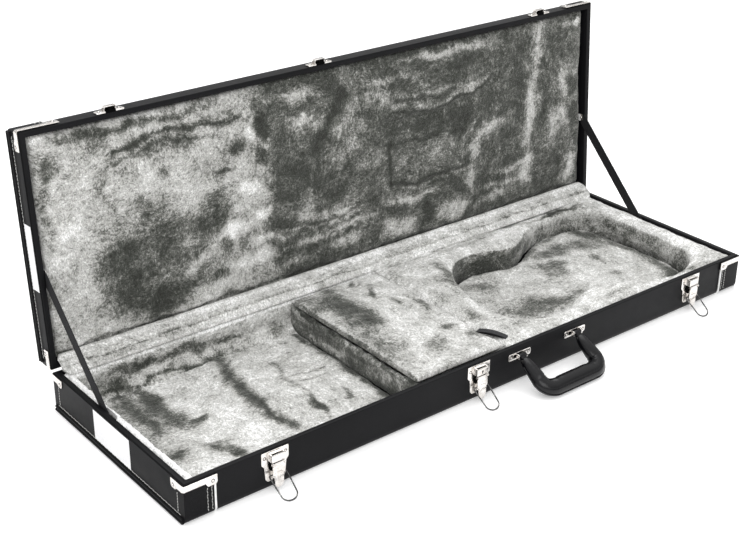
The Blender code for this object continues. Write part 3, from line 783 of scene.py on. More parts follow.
def corner_clamp(kind, end, side):
    """A nickel clamp bent round a rim corner, with a lobed end and rivets."""
    along, across = SIDES[side], ENDS[end]
    near = Vector((LENGTH / 2 + GAP, WIDTH / 2 + GAP))
    bend = 2.5 * MM
    arm = CLAMP_FRONT_ARM[kind]
    stations = []
    first = LENGTH / 2 - arm
    straight = near.x - bend - first
    for i in range(25):
        stations.append((Vector((first + straight * i / 24, near.y)), Vector((0, 1))))
    for i in range(1, 6):
        angle = math.pi / 2 * (1 - i / 6)
        outward = Vector((math.cos(angle), math.sin(angle)))
        centre = Vector((near.x - bend, near.y - bend))
        stations.append((centre + outward * bend, outward))
    last = WIDTH / 2 - CLAMP_END_ARM
    straight = near.y - bend - last
    for i in range(13):
        stations.append((Vector((near.x, near.y - bend - straight * i / 12)), Vector((1, 0))))

    def depth(place, outward):
        """How far the clamp reaches from the rim, in mm."""
        if outward.y > 0.99:
            reach = (place.x - first) / MM
            lobe, plain, long = 13.8, 8.3, 14.0
        elif outward.x > 0.99:
            reach = (place.y - last) / MM
            lobe, plain, long = 12.5, 9.5, 11.0
        else:
            return 8.9
        start = lobe - 3.0 + 3.0 * math.sqrt(max(0.0, 1 - (1 - min(reach / 3.0, 1)) ** 2))
        fall = min(max((reach - long) / 3.0, 0.0), 1.0)
        return start + (plain - start) * fall * fall * (3 - 2 * fall)

    rings = []
    for place, outward in stations:
        deep = depth(place, outward) * MM
        if kind == "base":
            low, high = CLAMP_HIGH - deep, CLAMP_HIGH
        else:
            low, high = CLAMP_LOW_LID, CLAMP_LOW_LID + deep
        outer = place + outward * SHEET
        corners = ((outer, high), (outer, low), (place, low), (place, high))
        rings.append([(along * spot.x, across * spot.y, z) for spot, z in corners])
    bm = tube(bmesh.new(), rings)
    bmesh.ops.recalc_face_normals(bm, faces=bm.faces)
    soften(bm, 0.35 * MM, 2, 50.0)
    middle = CLAMP_HIGH - 7.5 * MM if kind == "base" else CLAMP_LOW_LID + 7.5 * MM
    face = near + Vector((SHEET, SHEET))
    bm = rivet(bm, (along * (first + 6.5 * MM), across * face.y, middle), (0, across, 0), 1.9 * MM, 0.9 * MM)
    bm = rivet(bm, (along * face.x, across * (last + 6 * MM), middle), (along, 0, 0), 1.9 * MM, 0.9 * MM)
    name = f"{kind}_clamp_{end}_{side}"
    piece(name, bm, NICKEL, kind, [f"{kind}_corner_{end}_{side}"])


# Latches


def latch_plate(side, x):
    """The riveted plate, its hollow housing with a slot on top, and the lever's knuckles."""
    outline = rounded(scaled([
        (-21, 57.5), (-21, 40), (-17, 35.5), (-15.5, 17), (-12, 13), (-5, 13), (-4, 16), (4, 16),
        (5, 13), (12, 13), (15.5, 17), (17, 35.5), (21, 40), (21, 57.5),
    ]), 1.2 * MM, 3)
    plate_front = FRONT - GAP - SHEET
    plate = prism(outline, "Y", plate_front, FRONT - GAP)
    half = 10.3 * MM
    front = LEVER_Y + 0.2 * MM
    profile = [
        (FRONT - MM, 43.8 * MM), (front, 43.8 * MM), (front, 53.4 * MM), (front + 0.7 * MM, 54.8 * MM),
        (FRONT - MM, 55.6 * MM),
    ]
    housing = prism(profile, "X", -half, half)
    slot = prism(scaled(box((-8.6, 45), (8.6, 60))), "Y", front + 0.9 * MM, front + 4.3 * MM)
    body = soften(combine([plate, housing], [slot]), 0.25 * MM, 2, 40.0)
    centre = (LEVER_Y, LEVER_Z)
    inner = 7.8 * MM
    knuckles = [rod(centre, 1.9 * MM, -half, -inner), rod(centre, 1.9 * MM, inner, half)]
    pin = rod(centre, 0.8 * MM, -half + MM, half - MM)
    solid = merged(body, *knuckles, pin)
    for u, v in ((-16.3, 49.5), (16.3, 49.5)):
        solid = rivet(solid, (u * MM, plate_front, v * MM), (0, -1, 0), 1.7 * MM, 0.8 * MM)
    # Painted shade: near-black blocks inside the slot, behind the lever, and in the gap between the housing
    # and the lever's knuckles.
    inside = prism(scaled(box((-8.5, 46), (8.5, 53.6))), "Y", front + 1.0 * MM, front + 4.2 * MM)
    painted_shade_behind = block((-9.8 * MM, FRONT - 6.4 * MM, 31 * MM), (9.8 * MM, plate_front - 0.2 * MM, 40.5 * MM))
    crease = block((-7.6 * MM, FRONT - 7.6 * MM, 41.2 * MM), (7.6 * MM, plate_front - 0.2 * MM, 43.6 * MM))
    solid = merged(solid, painted_in_shade(inside), painted_in_shade(painted_shade_behind), painted_in_shade(crease))
    # Painted shade: the centre latch's holes are near-black shapes.
    if side == "centre":
        for low, high, wide in ((45.6, 49.2, 0.8), (48.2, 50.8, 1.4)):
            painted_hole_shade = rounded(scaled(box((-wide, low), (wide, high))), 0.6 * MM)
            solid = merged(solid, painted_in_shade(prism(painted_hole_shade, "Y", front - 0.15 * MM, front + 0.5 * MM)))
    piece(
        f"latch_body_{side}", shifted(solid, x), NICKEL, "base", [f"latch_plate_{side}"]
    )


def latch_lever(side, x):
    """The lever's flat plate with a raised rounded tongue, and the lugs that hold the bail."""
    outline = rounded(scaled([
        (-7.4, 42.6), (-7.4, 38.6), (-9.4, 38.0), (-9.4, 25), (-7.0, 20), (-7.0, 16), (7.0, 16), (7.0, 20),
        (9.4, 25), (9.4, 38.0), (7.4, 38.6), (7.4, 42.6),
    ]), 1.2 * MM, 3)
    plate = prism(outline, "Y", LEVER_Y - 0.5 * MM, LEVER_Y + 0.6 * MM)
    lugs = []
    for sign in (-1, 1):
        near, far = sorted((sign * 8.2 * MM, sign * 9.4 * MM))
        lugs.append(block((near, LEVER_Y, BAIL_Z - 2.3 * MM), (far, BAIL_Y + 2.0 * MM, BAIL_Z + 8 * MM)))
    eyes = rod((BAIL_Y, BAIL_Z), 1.25 * MM, -20 * MM, 20 * MM)
    solid = soften(combine([plate, *lugs], [eyes]), 0.25 * MM, 2, 40.0)
    tongue = rounded(scaled([
        (-6.8, 27), (-6.8, 11.6), (-5.2, 7.4), (-2.4, 5.8), (2.4, 5.8), (5.2, 7.4), (6.8, 11.6), (6.8, 27),
        (3.6, 29), (-3.6, 29),
    ]), 1.8 * MM, 3)
    raised = prism(tongue, "Y", LEVER_Y - 1.3 * MM, LEVER_Y - 0.1 * MM)
    solid = merged(solid, soften(raised, 0.45 * MM, 3, 40.0))
    node = f"latch_lever_{side}"
    piece(f"lever_{side}", shifted(solid, x), NICKEL, node.replace("latch_", ""), [node])


def latch_bail(side, x):
    """The thin wire loop hinged in the lever's lugs."""
    half = [(8.0, 0.0), (11.0, 0.0), (12.4, 0.4), (13.0, 1.6), (13.0, 8.0), (12.4, 19.0), (11.8, 30.5)]
    points = list(half)
    for i in range(1, 13):
        angle = math.pi / 2 * i / 12
        points.append((11.8 * math.cos(angle), 30.5 + 9.2 * math.sin(angle)))
    line = points + [(-u, s) for u, s in reversed(points[:-1])]
    rest = math.asin((BAIL_Z - WIRE - GAP) / BAIL_LENGTH)
    bm = bmesh.new()
    down = Vector((0, -math.cos(rest), -math.sin(rest)))
    hinge = Vector((x, BAIL_Y, BAIL_Z))
    sweep(bm, [hinge + Vector((u * MM, 0, 0)) + down * s * MM for u, s in line], 1.05 * MM, 10)
    node = f"latch_bail_{side}"
    piece(f"bail_wire_{side}", bm, WIRE_NICKEL_PAINTED_DARK, node.replace("latch_", ""), [node])


def latch_catch(side, x):
    """The riveted plate and hook on the lid, under a hood that is open towards the base."""
    plate_front = FRONT - GAP - 2.2 * MM
    low = LID_BOTTOM + 0.5 * MM
    outline = rounded(
        [(-21.5 * MM, low), (21.5 * MM, low), (21.5 * MM, low + 10 * MM), (12 * MM, low + 13 * MM),
         (-12 * MM, low + 13 * MM), (-21.5 * MM, low + 10 * MM)], 2 * MM, 3,
    )
    plate = soften(prism(outline, "Y", plate_front, FRONT - GAP), 0.5 * MM, 3, 40.0)
    tongue = block((-3 * MM, FRONT - 7.8 * MM, low), (3 * MM, plate_front + 0.3 * MM, 62 * MM))
    lip = block((-3 * MM, FRONT - 7.8 * MM, low + 0.2 * MM), (3 * MM, FRONT - 6.6 * MM, 66 * MM))
    hook = soften(combine([tongue, lip]), 0.25 * MM, 2, 40.0)
    outer = rounded([(FRONT - MM, 71.5 * MM), (FRONT - 8.9 * MM, 70.2 * MM), (FRONT - 8.9 * MM, 61.4 * MM),
                     (FRONT - MM, 61.4 * MM)], 0.6 * MM, 3)
    hood = prism(outer, "X", -8.8 * MM, 8.8 * MM)
    inside = block((-7.9 * MM, FRONT - 8.0 * MM, 55 * MM), (7.9 * MM, FRONT + MM, 69.4 * MM))
    bail_room = block((-12 * MM, FRONT - 6.7 * MM, 55 * MM), (12 * MM, FRONT - 3.5 * MM, 62.9 * MM))
    hood = soften(combine([hood], [inside, bail_room]), 0.25 * MM, 2, 40.0)
    shade = block((-7.8 * MM, FRONT - 3.6 * MM, low - 0.15 * MM), (7.8 * MM, FRONT - GAP, 69.3 * MM))
    # Painted shade: the hook and a block inside the hood are near black, for the shade under the hood.
    solid = merged(plate, hood, painted_in_shade(hook), painted_in_shade(shade))
    for u in (-15.5, 15.5):
        solid = rivet(solid, (u * MM, plate_front, low + 5.5 * MM), (0, -1, 0), 1.8 * MM, 0.9 * MM)
    piece(f"catch_{side}", shifted(solid, x), NICKEL, "lid", [f"latch_catch_{side}"])


# Handle


def handle_plate(side, x):
    """A riveted plate with two ears, the pin between them, and a near-black block behind them as painted
    shade in the recess.
    """
    plate_front = FRONT - GAP - 1.5 * MM
    outline = rounded(scaled(box((-22, 40), (22, 51))), 3 * MM)
    plate = prism(outline, "Y", plate_front, FRONT - GAP)
    ears = []
    for sign in (-1, 1):
        near, far = sorted((sign * 6.8 * MM, sign * 8.8 * MM))
        shape = rounded(box((FRONT - 9.5 * MM, 42 * MM), (FRONT - 1.4 * MM, 50 * MM)), 3 * MM)
        ears.append(prism(shape, "X", near, far))
    solid = soften(combine([plate, *ears]), 0.3 * MM, 2, 40.0)
    pin = rod((HANDLE_Y, HANDLE_Z), 2 * MM, -9.4 * MM, 9.4 * MM)
    solid = merged(solid, pin)
    for u in (-17, 17):
        solid = rivet(solid, (u * MM, plate_front, 45.5 * MM), (0, -1, 0), 1.8 * MM, 0.9 * MM)
    # Painted shade: a near-black block in the recess behind the pin.
    recess_shade = block((-12.5 * MM, plate_front - 0.15 * MM, 42.5 * MM), (12.5 * MM, plate_front + MM, 48.5 * MM))
    solid = merged(solid, painted_in_shade(recess_shade))
    piece(f"handle_mount_{side}", shifted(solid, x), NICKEL, "base", [f"handle_plate_{side}"])


def handle_line():
    """The grip's centre line and radius, drawn level and reaching out along -Y."""
    corner = 18.0
    straight = GRIP_REACH / MM - corner
    post = HANDLE_HALF / MM
    leg = ((7.0, 5.8), (9.0, 7.4), (12.5, 8.8), (18.0, 9.8), (25.0, 10.6), (32.0, 11.2), (39.0, 11.8),
           (45.0, 12.2))
    half = [(post, reach, radius) for reach, radius in leg]
    for i in range(13):
        angle = math.pi / 2 * i / 12
        across = post - corner + corner * math.cos(angle)
        reach = straight + corner * math.sin(angle)
        half.append((across, reach, 12.4 + 1.0 * i / 12))
    half += [(u, GRIP_REACH / MM, 13.4) for u in (33.0, 27.0, 21.0, 14.0, 7.0, 0.0)]
    return half + [(-u, s, r) for u, s, r in reversed(half[:-1])]


def handle():
    """The padded grip with creased corners, its seam cord and its looped ends."""
    rows = handle_line()
    centre = Vector((HANDLE_X, HANDLE_Y, HANDLE_Z))
    points = [centre + Vector((u * MM, -s * MM, 0)) for u, s, _ in rows]
    flattened = Vector((0, 0, 0.86))
    sides = 24
    seam_line = []
    rings = []
    for i, (point, row) in enumerate(zip(points, rows)):
        along = heading(points, i)
        outward = along.cross(Vector((0, 0, 1)))
        if outward.dot(point - centre - Vector((0, -GRIP_REACH * 0.45, 0))) < 0:
            outward = -outward
        radius = row[2] * MM
        bent = 24 < abs(row[0]) < 57.5 and row[1] > 38
        ring = []
        for k in range(sides):
            angle = 2 * math.pi * k / sides
            crease = 0.0
            if bent and math.cos(angle) < 0.2:
                crease = 1.1 * MM * (i % 2) * min(1.0, 0.5 - math.cos(angle))
            ripple = 0.25 * MM * noise.noise(Vector((row[0] * 0.2, row[1] * 0.2, k * 0.7)))
            reach = radius - crease + ripple
            ring.append(point + (outward * math.cos(angle) + flattened * math.sin(angle)) * reach)
        rings.append(ring)
        seam_line.append(point + outward * (radius + 0.3 * MM))
    tilt = math.asin((HANDLE_Z - GRIP_DEPTH - GAP) / GRIP_REACH)
    axis = Vector((0, HANDLE_Y, HANDLE_Z))
    place = Matrix.Translation(axis) @ Matrix.Rotation(tilt, 4, "X") @ Matrix.Translation(-axis)
    ends = []
    for sign in (-1, 1):
        x = HANDLE_X + sign * HANDLE_HALF
        loop = rod((HANDLE_Y, HANDLE_Z), 3.6 * MM, x - 6.2 * MM, x + 6.2 * MM)
        tab = block(
            (x - 4.4 * MM, HANDLE_Y - 9 * MM, HANDLE_Z - 2.6 * MM),
            (x + 4.4 * MM, HANDLE_Y - 2.4 * MM, HANDLE_Z + 2.6 * MM),
        )
        bore = rod((HANDLE_Y, HANDLE_Z), 2.35 * MM, x - 12 * MM, x + 12 * MM)
        ends.append(soften(combine([loop, tab], [bore]), 0.4 * MM, 2, 40.0))
    grip = merged(tube(bmesh.new(), rings), *ends)
    piece("handle_body", grip, GRIP_LEATHER, "handle", ["handle_grip"], place)
    seam = bmesh.new()
    sweep(seam, seam_line[3:-3], 1.1 * MM, 8)
    piece("handle_seam", seam, GRIP_LEATHER, "handle", (), place)


# Rear hinges


def hinge_screws(side, x):
    """Screw heads on the leaves; the leaves themselves are CAD nodes."""
    back = FACE_Y + GAP + SHEET
    for kind, z in (("base", 46 * MM), ("lid", 73 * MM)):
        bm = bmesh.new()
        for u in (-13, 0, 13):
            dome(bm, (x + u * MM, back, z), (0, 1, 0), 2.3 * MM, 0.8 * MM)
        piece(f"hinge_screws_{kind}_{side}", bm, NICKEL, kind)


# Plush padding


def vectors(mesh, kind):
    """Every vertex's place ("co") or "normal", one per row."""
    found = np.empty(len(mesh.vertices) * 3, np.float32)
    mesh.vertices.foreach_get(kind, found)
    return found.reshape(-1, 3).astype(float)


def put_points(mesh, points):
    mesh.vertices.foreach_set("co", points.astype(np.float32).ravel())
    mesh.update()


def applied(obj):
    """Replaces an object's mesh with what its modifiers make of it."""
    graph = bpy.context.evaluated_depsgraph_get()
    mesh = bpy.data.meshes.new_from_object(obj.evaluated_get(graph))
    obj.modifiers.clear()
    obj.data = mesh
    return obj


class Pad:
    """A plush pad grown from a CAD node's solid. Lid pads are worked on in the shut position."""

    def __init__(self, name, node, body, voxel, cap, pressure, slack=0.0):
        self.node, self.body, self.cap = node, body, cap
        bm = bmesh.new()
        bm.from_mesh(frame["nodes"][node].data)
        bmesh.ops.remove_doubles(bm, verts=bm.verts, dist=1e-6)
        mesh = bpy.data.meshes.new(name)
        bm.to_mesh(mesh)
        bm.free()
        if body == "lid":
            mesh.transform(SHUT_TO_OPEN.inverted())
        points = vectors(mesh, "co")
        at_end = np.abs(points[:, 0]) > CAD_PAD_END - 0.2 * MM
        points[at_end, 0] = np.sign(points[at_end, 0]) * PAD_REACH
        put_points(mesh, points)
        self.low, self.high = points.min(0), points.max(0)
        self.obj = placed(name, mesh)
        remesh = self.obj.modifiers.new("Remesh", "REMESH")
        remesh.mode = "VOXEL"
        remesh.voxel_size = voxel
        smooth = self.obj.modifiers.new("Smooth", "SMOOTH")
        smooth.factor = 0.5
        smooth.iterations = 5
        applied(self.obj)
        self.start = vectors(self.obj.data, "co")
        if pressure > 0:
            self.add_cloth(pressure, slack)

    def add_cloth(self, pressure, slack):
        cloth = self.obj.modifiers.new("Cloth", "CLOTH")
        settings = cloth.settings
        settings.quality = 4
        settings.use_pressure = True
        settings.uniform_pressure_force = pressure
        settings.effector_weights.gravity = 0.0
        settings.tension_stiffness = 12.0
        settings.compression_stiffness = 12.0
        settings.bending_stiffness = 0.3
        settings.shrink_min = -slack
        settings.shrink_max = -slack
        cloth.collision_settings.use_collision = False
        cloth.point_cache.frame_start = 1
        cloth.point_cache.frame_end = SIM_FRAMES

    def take_cloth(self):
        """Keeps the simulated shape, no further than the cap from the start."""
        graph = bpy.context.evaluated_depsgraph_get()
        moved = vectors(self.obj.evaluated_get(graph).to_mesh(), "co")
        self.obj.modifiers.clear()
        shift = moved - self.start
        length = np.linalg.norm(shift, axis=1, keepdims=True)
        shift *= np.minimum(1.0, self.cap / np.maximum(length, 1e-9))
        put_points(self.obj.data, self.start + shift)

    def finish(self, relief, shape=None, rise=0.0, drop=0.0):
        """Adds detail to the surface and keeps the pad in its space."""
        divide = self.obj.modifiers.new("Subdivision", "SUBSURF")
        divide.levels = 1
        divide.render_levels = 1
        applied(self.obj)
        mesh = self.obj.data
        points = vectors(mesh, "co")
        points += vectors(mesh, "normal") * lumps(points, *relief)[:, None]
        if shape is not None:
            points = shape(points)
        points = np.clip(points, self.low - [0, 0, drop], self.high + [0, 0, rise])
        # The ends step in beside the straps
        beside = np.abs(points[:, 1] - STRAP_Y)
        narrow = CAD_PAD_END + GAP
        reach = narrow + (PAD_REACH - narrow) * smooth_step(beside, 13 * MM, 20 * MM)
        points[:, 0] = np.clip(points[:, 0], -reach, reach)
        put_points(mesh, points)
        return points / MM, vectors(mesh, "normal")

    def ride(self, nap_and_painted_light, fill):
        """Paints the nap with its painted shade and highlights, and makes the pad ride on its body in place
        of its CAD nodes.
        """
        mesh = self.obj.data
        paint(mesh, nap_and_painted_light)
        if self.body == "lid":
            mesh.transform(SHUT_TO_OPEN)
        mesh.polygons.foreach_set("use_smooth", [True] * len(mesh.polygons))
        mesh.materials.clear()
        mesh.materials.append(PLUSH)
        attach(self.obj, self.body)
        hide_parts(self.node)


def lumps(points, *layers):
    """Noise in metres at each point, from (size of feature, height) layers, both in mm."""
    total = np.zeros(len(points))
    for number, (size, height) in enumerate(layers):
        shift = Vector((number * 7.3, number * 3.1, number * 5.7))
        scale = 1000.0 / size
        total += np.array([noise.noise(Vector(p) * scale + shift) for p in points]) * height * MM
    return total


def ragged(u, v):
    """The same places in mm, pushed about a little, so that painted edges come out uneven."""
    flat = np.stack([u, v, np.zeros(len(u))], 1) * MM
    side = flat + [0.31, 0.17, 0.53]
    layers = ((42, 9.0), (13, 4.5))
    return u + lumps(flat, *layers) / MM, v + lumps(side, *layers) / MM


def spots(u, v, rows):
    """The sum of soft elliptical spots: (u, v, half width, half height, amount, turn in degrees)."""
    total = np.zeros(len(u))
    for row in rows:
        cu, cv, ru, rv, amount, turn = (*row, 0)[:6]
        angle = math.radians(turn)
        du, dv = u - cu, v - cv
        a = (du * math.cos(angle) + dv * math.sin(angle)) / ru
        b = (-du * math.sin(angle) + dv * math.cos(angle)) / rv
        total += amount * np.exp(-((a * a + b * b) ** 1.7))
    return total


def near_line(u, v, width, places):
    """1 on a line of places, fading to 0 beside it."""
    found = np.zeros(len(u))
    for (u0, v0), (u1, v1) in zip(places, places[1:]):
        run, climb = u1 - u0, v1 - v0
        share = np.clip(((u - u0) * run + (v - v0) * climb) / (run * run + climb * climb), 0, 1)
        away = np.hypot(u - u0 - share * run, v - v0 - share * climb)
        found = np.maximum(found, np.exp(-((away / width) ** 2)))
    return found


def strips(u, v, rows):
    """The sum of soft lines: (amount, width, places...)."""
    total = np.zeros(len(u))
    for amount, width, *places in rows:
        total += amount * near_line(u, v, width, places)
    return total


def smooth_step(value, low, high):
    share = np.clip((value - low) / (high - low), 0, 1)
    return share * share * (3 - 2 * share)


def paint(mesh, values):
    attribute = mesh.attributes.new("nap_and_painted_light", "FLOAT", "POINT")
    attribute.data.foreach_set("value", np.clip(values, 0.0, 1.15).astype(np.float32))


def make_pads():
    """Every pad by its CAD node, inflated a little by a short cloth simulation."""
    rows = (
        # name, CAD node, body, voxel, furthest move, pressure, slack
        ("bay_plush_walls", "bay_side_padding", "base", 3.8, 1.5, 2.0, 0.01),
        ("headstock_plush", "headstock_pad", "base", 4.0, 1.5, 2.0, 0.03),
        ("body_plush_block", "body_block", "base", 5.0, 3.0, 3.0, 0.02),
        ("hollow_plush_floor", "cavity_pad", "base", 5.0, 2.5, 3.0, 0.03),
        ("compartment_plush_wall_left", "compartment_left_wall", "base", 3.8, 1.5, 2.0),
        ("compartment_plush_wall_right", "compartment_right_wall", "base", 4.0, 1.0, 2.0),
        ("compartment_plush_floor", "compartment_floor_pad", "base", 1.6, 1.0, 0.0),
        ("compartment_plush_lid", "compartment_lid", "compartment_door", 3.6, 1.2, 2.0),
        ("lid_plush_liner", "lid_liner", "lid", 5.0, 3.0, 3.0, 0.03),
    )
    pads = {}
    for name, node, body, voxel, cap, *cloth in rows:
        pads[node] = Pad(name, node, body, voxel * MM, cap * MM, *cloth)
    for number in range(1, SIM_FRAMES + 1):
        bpy.context.scene.frame_set(number)
    for pad in pads.values():
        pad.take_cloth()
    bpy.context.scene.frame_set(1)
    return pads


def bay_walls(pad):
    """Padding round the headstock bay, rounded over at the rim and curving into the floor."""
    foot = 24 * MM
    rear_face = 148

    def curve(points):
        x, y, z = points.T
        height = np.clip((z - BAY_FLOOR) / foot, 0, 1)
        toe = foot * (1 - np.sqrt(1 - (1 - height) ** 2)) * (z > BAY_FLOOR - 1 * MM)
        rear = (y > BAY_REAR - 8 * MM) & (y < BAY_REAR + 4 * MM)
        left = (x < BAY_LEFT + 8 * MM) & (x > BAY_LEFT - 4 * MM)
        points[rear, 1] -= toe[rear]
        points[left, 0] += toe[left] * 0.6
        middle = np.minimum.reduce([
            np.abs(y - (BAY_REAR + INSIDE_Y) / 2),
            np.abs(y + (INSIDE_Y - BAY_FRONT) / 2),
            np.abs(x + (PAD_REACH - BAY_LEFT) / 2),
        ])
        top = z > PAD_TOP - 7 * MM
        fall = np.clip(middle / (8 * MM), 0, 1) ** 2
        points[top, 2] += 1.5 * MM - 4 * MM * fall[top] + lumps(points[top], (7, 1.6), (3.5, 1.0))
        outer = (x < -PAD_REACH + 3 * MM) & (z > PAD_TOP - 12 * MM)
        points[outer, 0] += 2.2 * MM * np.abs(lumps(points[outer], (7, 1.0), (3.5, 0.7))) / MM
        return points

    p, _ = pad.finish(((40, 0.8), (9, 0.9), (4.5, 0.6)), curve, 2 * MM)
    x, y, z = p.T
    # Painted as seen from above the front: height plus half the depth, from the rear wall's face
    u, v = ragged(x, z + 0.5 * y)
    v = v - 0.5 * rear_face
    nap_and_painted_light = np.full(len(p), 0.78)
    rear = (y < 149) & (y > 60)
    shade = 0.66 + spots(u, v, [
        (-350, 36, 85, 7, -0.3, 2), (-430, 40, 40, 8, -0.25, -6), (-265, 33, 25, 6, -0.2),
        (-470, 22, 30, 10, -0.25), (-200, 45, 60, 8, 0.12), (-175, 16, 18, 12, -0.25),
    ])
    shade += strips(u, v, [(-0.38, 4.5, (-500, 12), (-430, 10), (-390, 14), (-330, 9), (-285, 12))])
    nap_and_painted_light[rear] = shade[rear]
    nap_and_painted_light[(x < -495) & (y < 140)] = 0.72
    # Painted highlight: the rounded tops of the walls are lighter, brightest along the left rim.
    nap_and_painted_light[z > 53] = 0.9
    nap_and_painted_light[(z > 51) & (x < -513)] = 1.15
    pad.ride(nap_and_painted_light, 0.4)


def bay_floor(pad):
    p, _ = pad.finish(((70, 1.8), (25, 1.1), (8, 0.6)), rise=4 * MM)
    u, v = ragged(p[:, 0], p[:, 1])
    # Painted shade: the dark line near u -156 lies at the foot of the compartment's wall.
    nap_and_painted_light = 0.78 + strips(u, v, [
        (-0.50, 11, (-290, 150), (-297, 118), (-308, 80), (-314, 30), (-316, -20), (-313, -90)),
        (-0.25, 4, (-238, 70), (-243, 20), (-246, -40), (-252, -90)),
        (-0.25, 2.2, (-236, 20), (-185, 15)), (-0.15, 2.2, (-225, 112), (-180, 109)),
        (-0.20, 2.2, (-232, 2), (-190, 0)), (-0.55, 9, (-156, 160), (-154, 0), (-156, -160)),
        (-0.30, 6, (-470, 140), (-400, 135), (-330, 140)),
    ])
    # Painted shade: the narrow spots near u -495 and -490 lie at the foot of the left wall.
    nap_and_painted_light += spots(u, v, [
        (-425, 18, 20, 26, -0.5), (-398, 2, 14, 8, -0.45), (-436, 55, 14, 20, -0.3),
        (-428, 95, 12, 40, -0.4), (-462, 65, 8, 60, -0.2), (-448, 132, 26, 8, -0.3),
        (-470, -48, 12, 14, -0.35, 30), (-412, -62, 18, 15, -0.35), (-403, -85, 9, 13, -0.4),
        (-250, -58, 8, 26, -0.4, 6), (-197, -62, 7, 20, -0.35, -10), (-207, -45, 5, 9, -0.3),
        (-470, 40, 34, 110, -0.2), (-460, 95, 36, 40, -0.16), (-370, 60, 40, 70, 0.06),
        (-350, -60, 25, 60, 0.06), (-495, 0, 6, 40, -0.2), (-490, 60, 5, 30, -0.25),
    ])
    pad.ride(nap_and_painted_light, 0.4)


def body_block(pad):
    """The block round the hollow, with a soft top, and walls in the hollow painted dark as shade."""

    def crown(points):
        top = points[:, 2] > 50 * MM
        flat = points[top] * [1, 1, 0]
        x, y = flat[:, 0] / MM, flat[:, 1] / MM
        rise = lumps(flat, (110, 1.4), (28, 1.1), (9, 0.5)) + 1.2 * MM
        rise -= 2.2 * MM * near_line(x, y, 3.5, [(40, 143), (260, 146), (500, 140)])
        rise += 1.6 * MM * near_line(x, y, 5, [(60, 20), (75, 60), (100, 85), (150, 110)])
        points[top, 2] += rise
        return points

    p, n = pad.finish(((14, 0.8), (5, 0.6)), crown, 4 * MM)
    x, y, z = p.T
    u, v = ragged(x, y)
    nap_and_painted_light = 0.80 + spots(u, v, [
        (105, 75, 12, 45, -0.3, -20), (75, 30, 10, 40, -0.15, -10), (50, 120, 20, 14, -0.15, 30),
        (40, 20, 8, 30, -0.2), (45, -60, 12, 22, -0.25), (85, -115, 25, 12, -0.15, 10),
        (500, 0, 14, 120, 0.1), (250, 125, 150, 10, 0.06), (440, 140, 50, 8, -0.3, -8),
        (300, -140, 60, 6, -0.2), (420, -148, 40, 6, -0.25, 5), (200, 135, 70, 4, -0.15),
    ])
    # Painted shade: the first line darkens the groove pressed along the rear of the top.
    nap_and_painted_light += strips(u, v, [
        (-0.25, 2.5, (45, 145), (180, 147), (330, 145), (500, 141)),
        (-0.2, 4, (330, 130), (380, 146), (450, 140), (490, 110)),
    ])
    # Painted shade: the walls in the hollow are dark, lighter towards their tops and beyond x 300 mm, darker
    # low down towards the right.
    inner = (np.abs(n[:, 2]) < 0.6) & (z < 53) & (x > 60) & (x < 508) & (np.abs(y) < 150)
    u, v = ragged(x, z)
    wall = 0.29 + 0.27 * smooth_step(u, 290, 350) + 0.2 * smooth_step(v, 38, 54)
    wall -= 0.12 * smooth_step(-v, -30, -20) * smooth_step(u, 320, 380)
    wall += spots(u, v, [(175, 35, 20, 10, 0.15), (330, 40, 50, 6, 0.2, 8)])
    nap_and_painted_light[inner] = wall[inner]
    pad.ride(nap_and_painted_light, 0.5)


def hollow_floor(pad):
    p, _ = pad.finish(((60, 2.4), (18, 1.3), (7, 0.7)), rise=4 * MM)
    u, v = ragged(p[:, 0], p[:, 1])
    nap_and_painted_light = 0.74 + spots(u, v, [
        (190, -50, 62, 28, -0.36, -8), (262, -58, 26, 14, -0.2, 10), (355, 78, 58, 22, -0.34, -8),
        (330, 40, 18, 14, -0.3), (430, 62, 26, 30, -0.28, 20), (300, 35, 14, 50, -0.2, 40),
        (150, 62, 36, 12, -0.25, -30), (395, 20, 10, 14, -0.25), (380, -40, 10, 9, -0.2),
        (250, 60, 60, 14, 0.08, 20), (350, -20, 60, 18, 0.1, 10), (130, 0, 20, 50, -0.12),
    ])
    nap_and_painted_light += strips(u, v, [
        (-0.40, 13, (445, 118), (470, 60), (476, 0), (470, -70), (445, -125)),
        (0.15, 4, (150, -95), (230, -85), (300, -60), (350, -85)),
        (-0.15, 3, (160, -103), (240, -93), (300, -70), (350, -95)),
        (-0.3, 7, (110, 90), (190, 100), (250, 82), (320, 108), (400, 130)),
    ])
    pad.ride(nap_and_painted_light, 0.45)


def compartment_walls(pads):
    pad = pads["compartment_left_wall"]

    def raised(points):
        points[points[:, 2] > 49 * MM, 2] += 2.2 * MM
        return points

    p, _ = pad.finish(((40, 0.9), (10, 0.9), (5, 0.5)), raised, 1.6 * MM)
    u, v = ragged(p[:, 1], p[:, 2])
    nap_and_painted_light = 0.42 + spots(u, v, [
        (70, 35, 60, 8, -0.1, 5), (-40, 42, 60, 6, 0.2, 4), (120, 44, 30, 6, 0.15), (-110, 30, 30, 8, 0.12),
        (20, 26, 40, 5, 0.15, -6), (135, 15, 20, 10, -0.1),
    ])
    # Painted shade: dark lines along the wall's foot and along its top, at the slit under the compartment's
    # lid.
    nap_and_painted_light += strips(u, v, [(-0.3, 6, (-160, 10), (160, 10)), (-0.3, 2.5, (-160, 52), (160, 52))])
    pad.ride(nap_and_painted_light, 0.5)
    for node, tone in (("compartment_right_wall", 0.6), ("compartment_floor_pad", 0.7)):
        p, _ = pads[node].finish(((40, 0.6), (10, 0.5)))
        pads[node].ride(np.full(len(p), tone), 0.4)


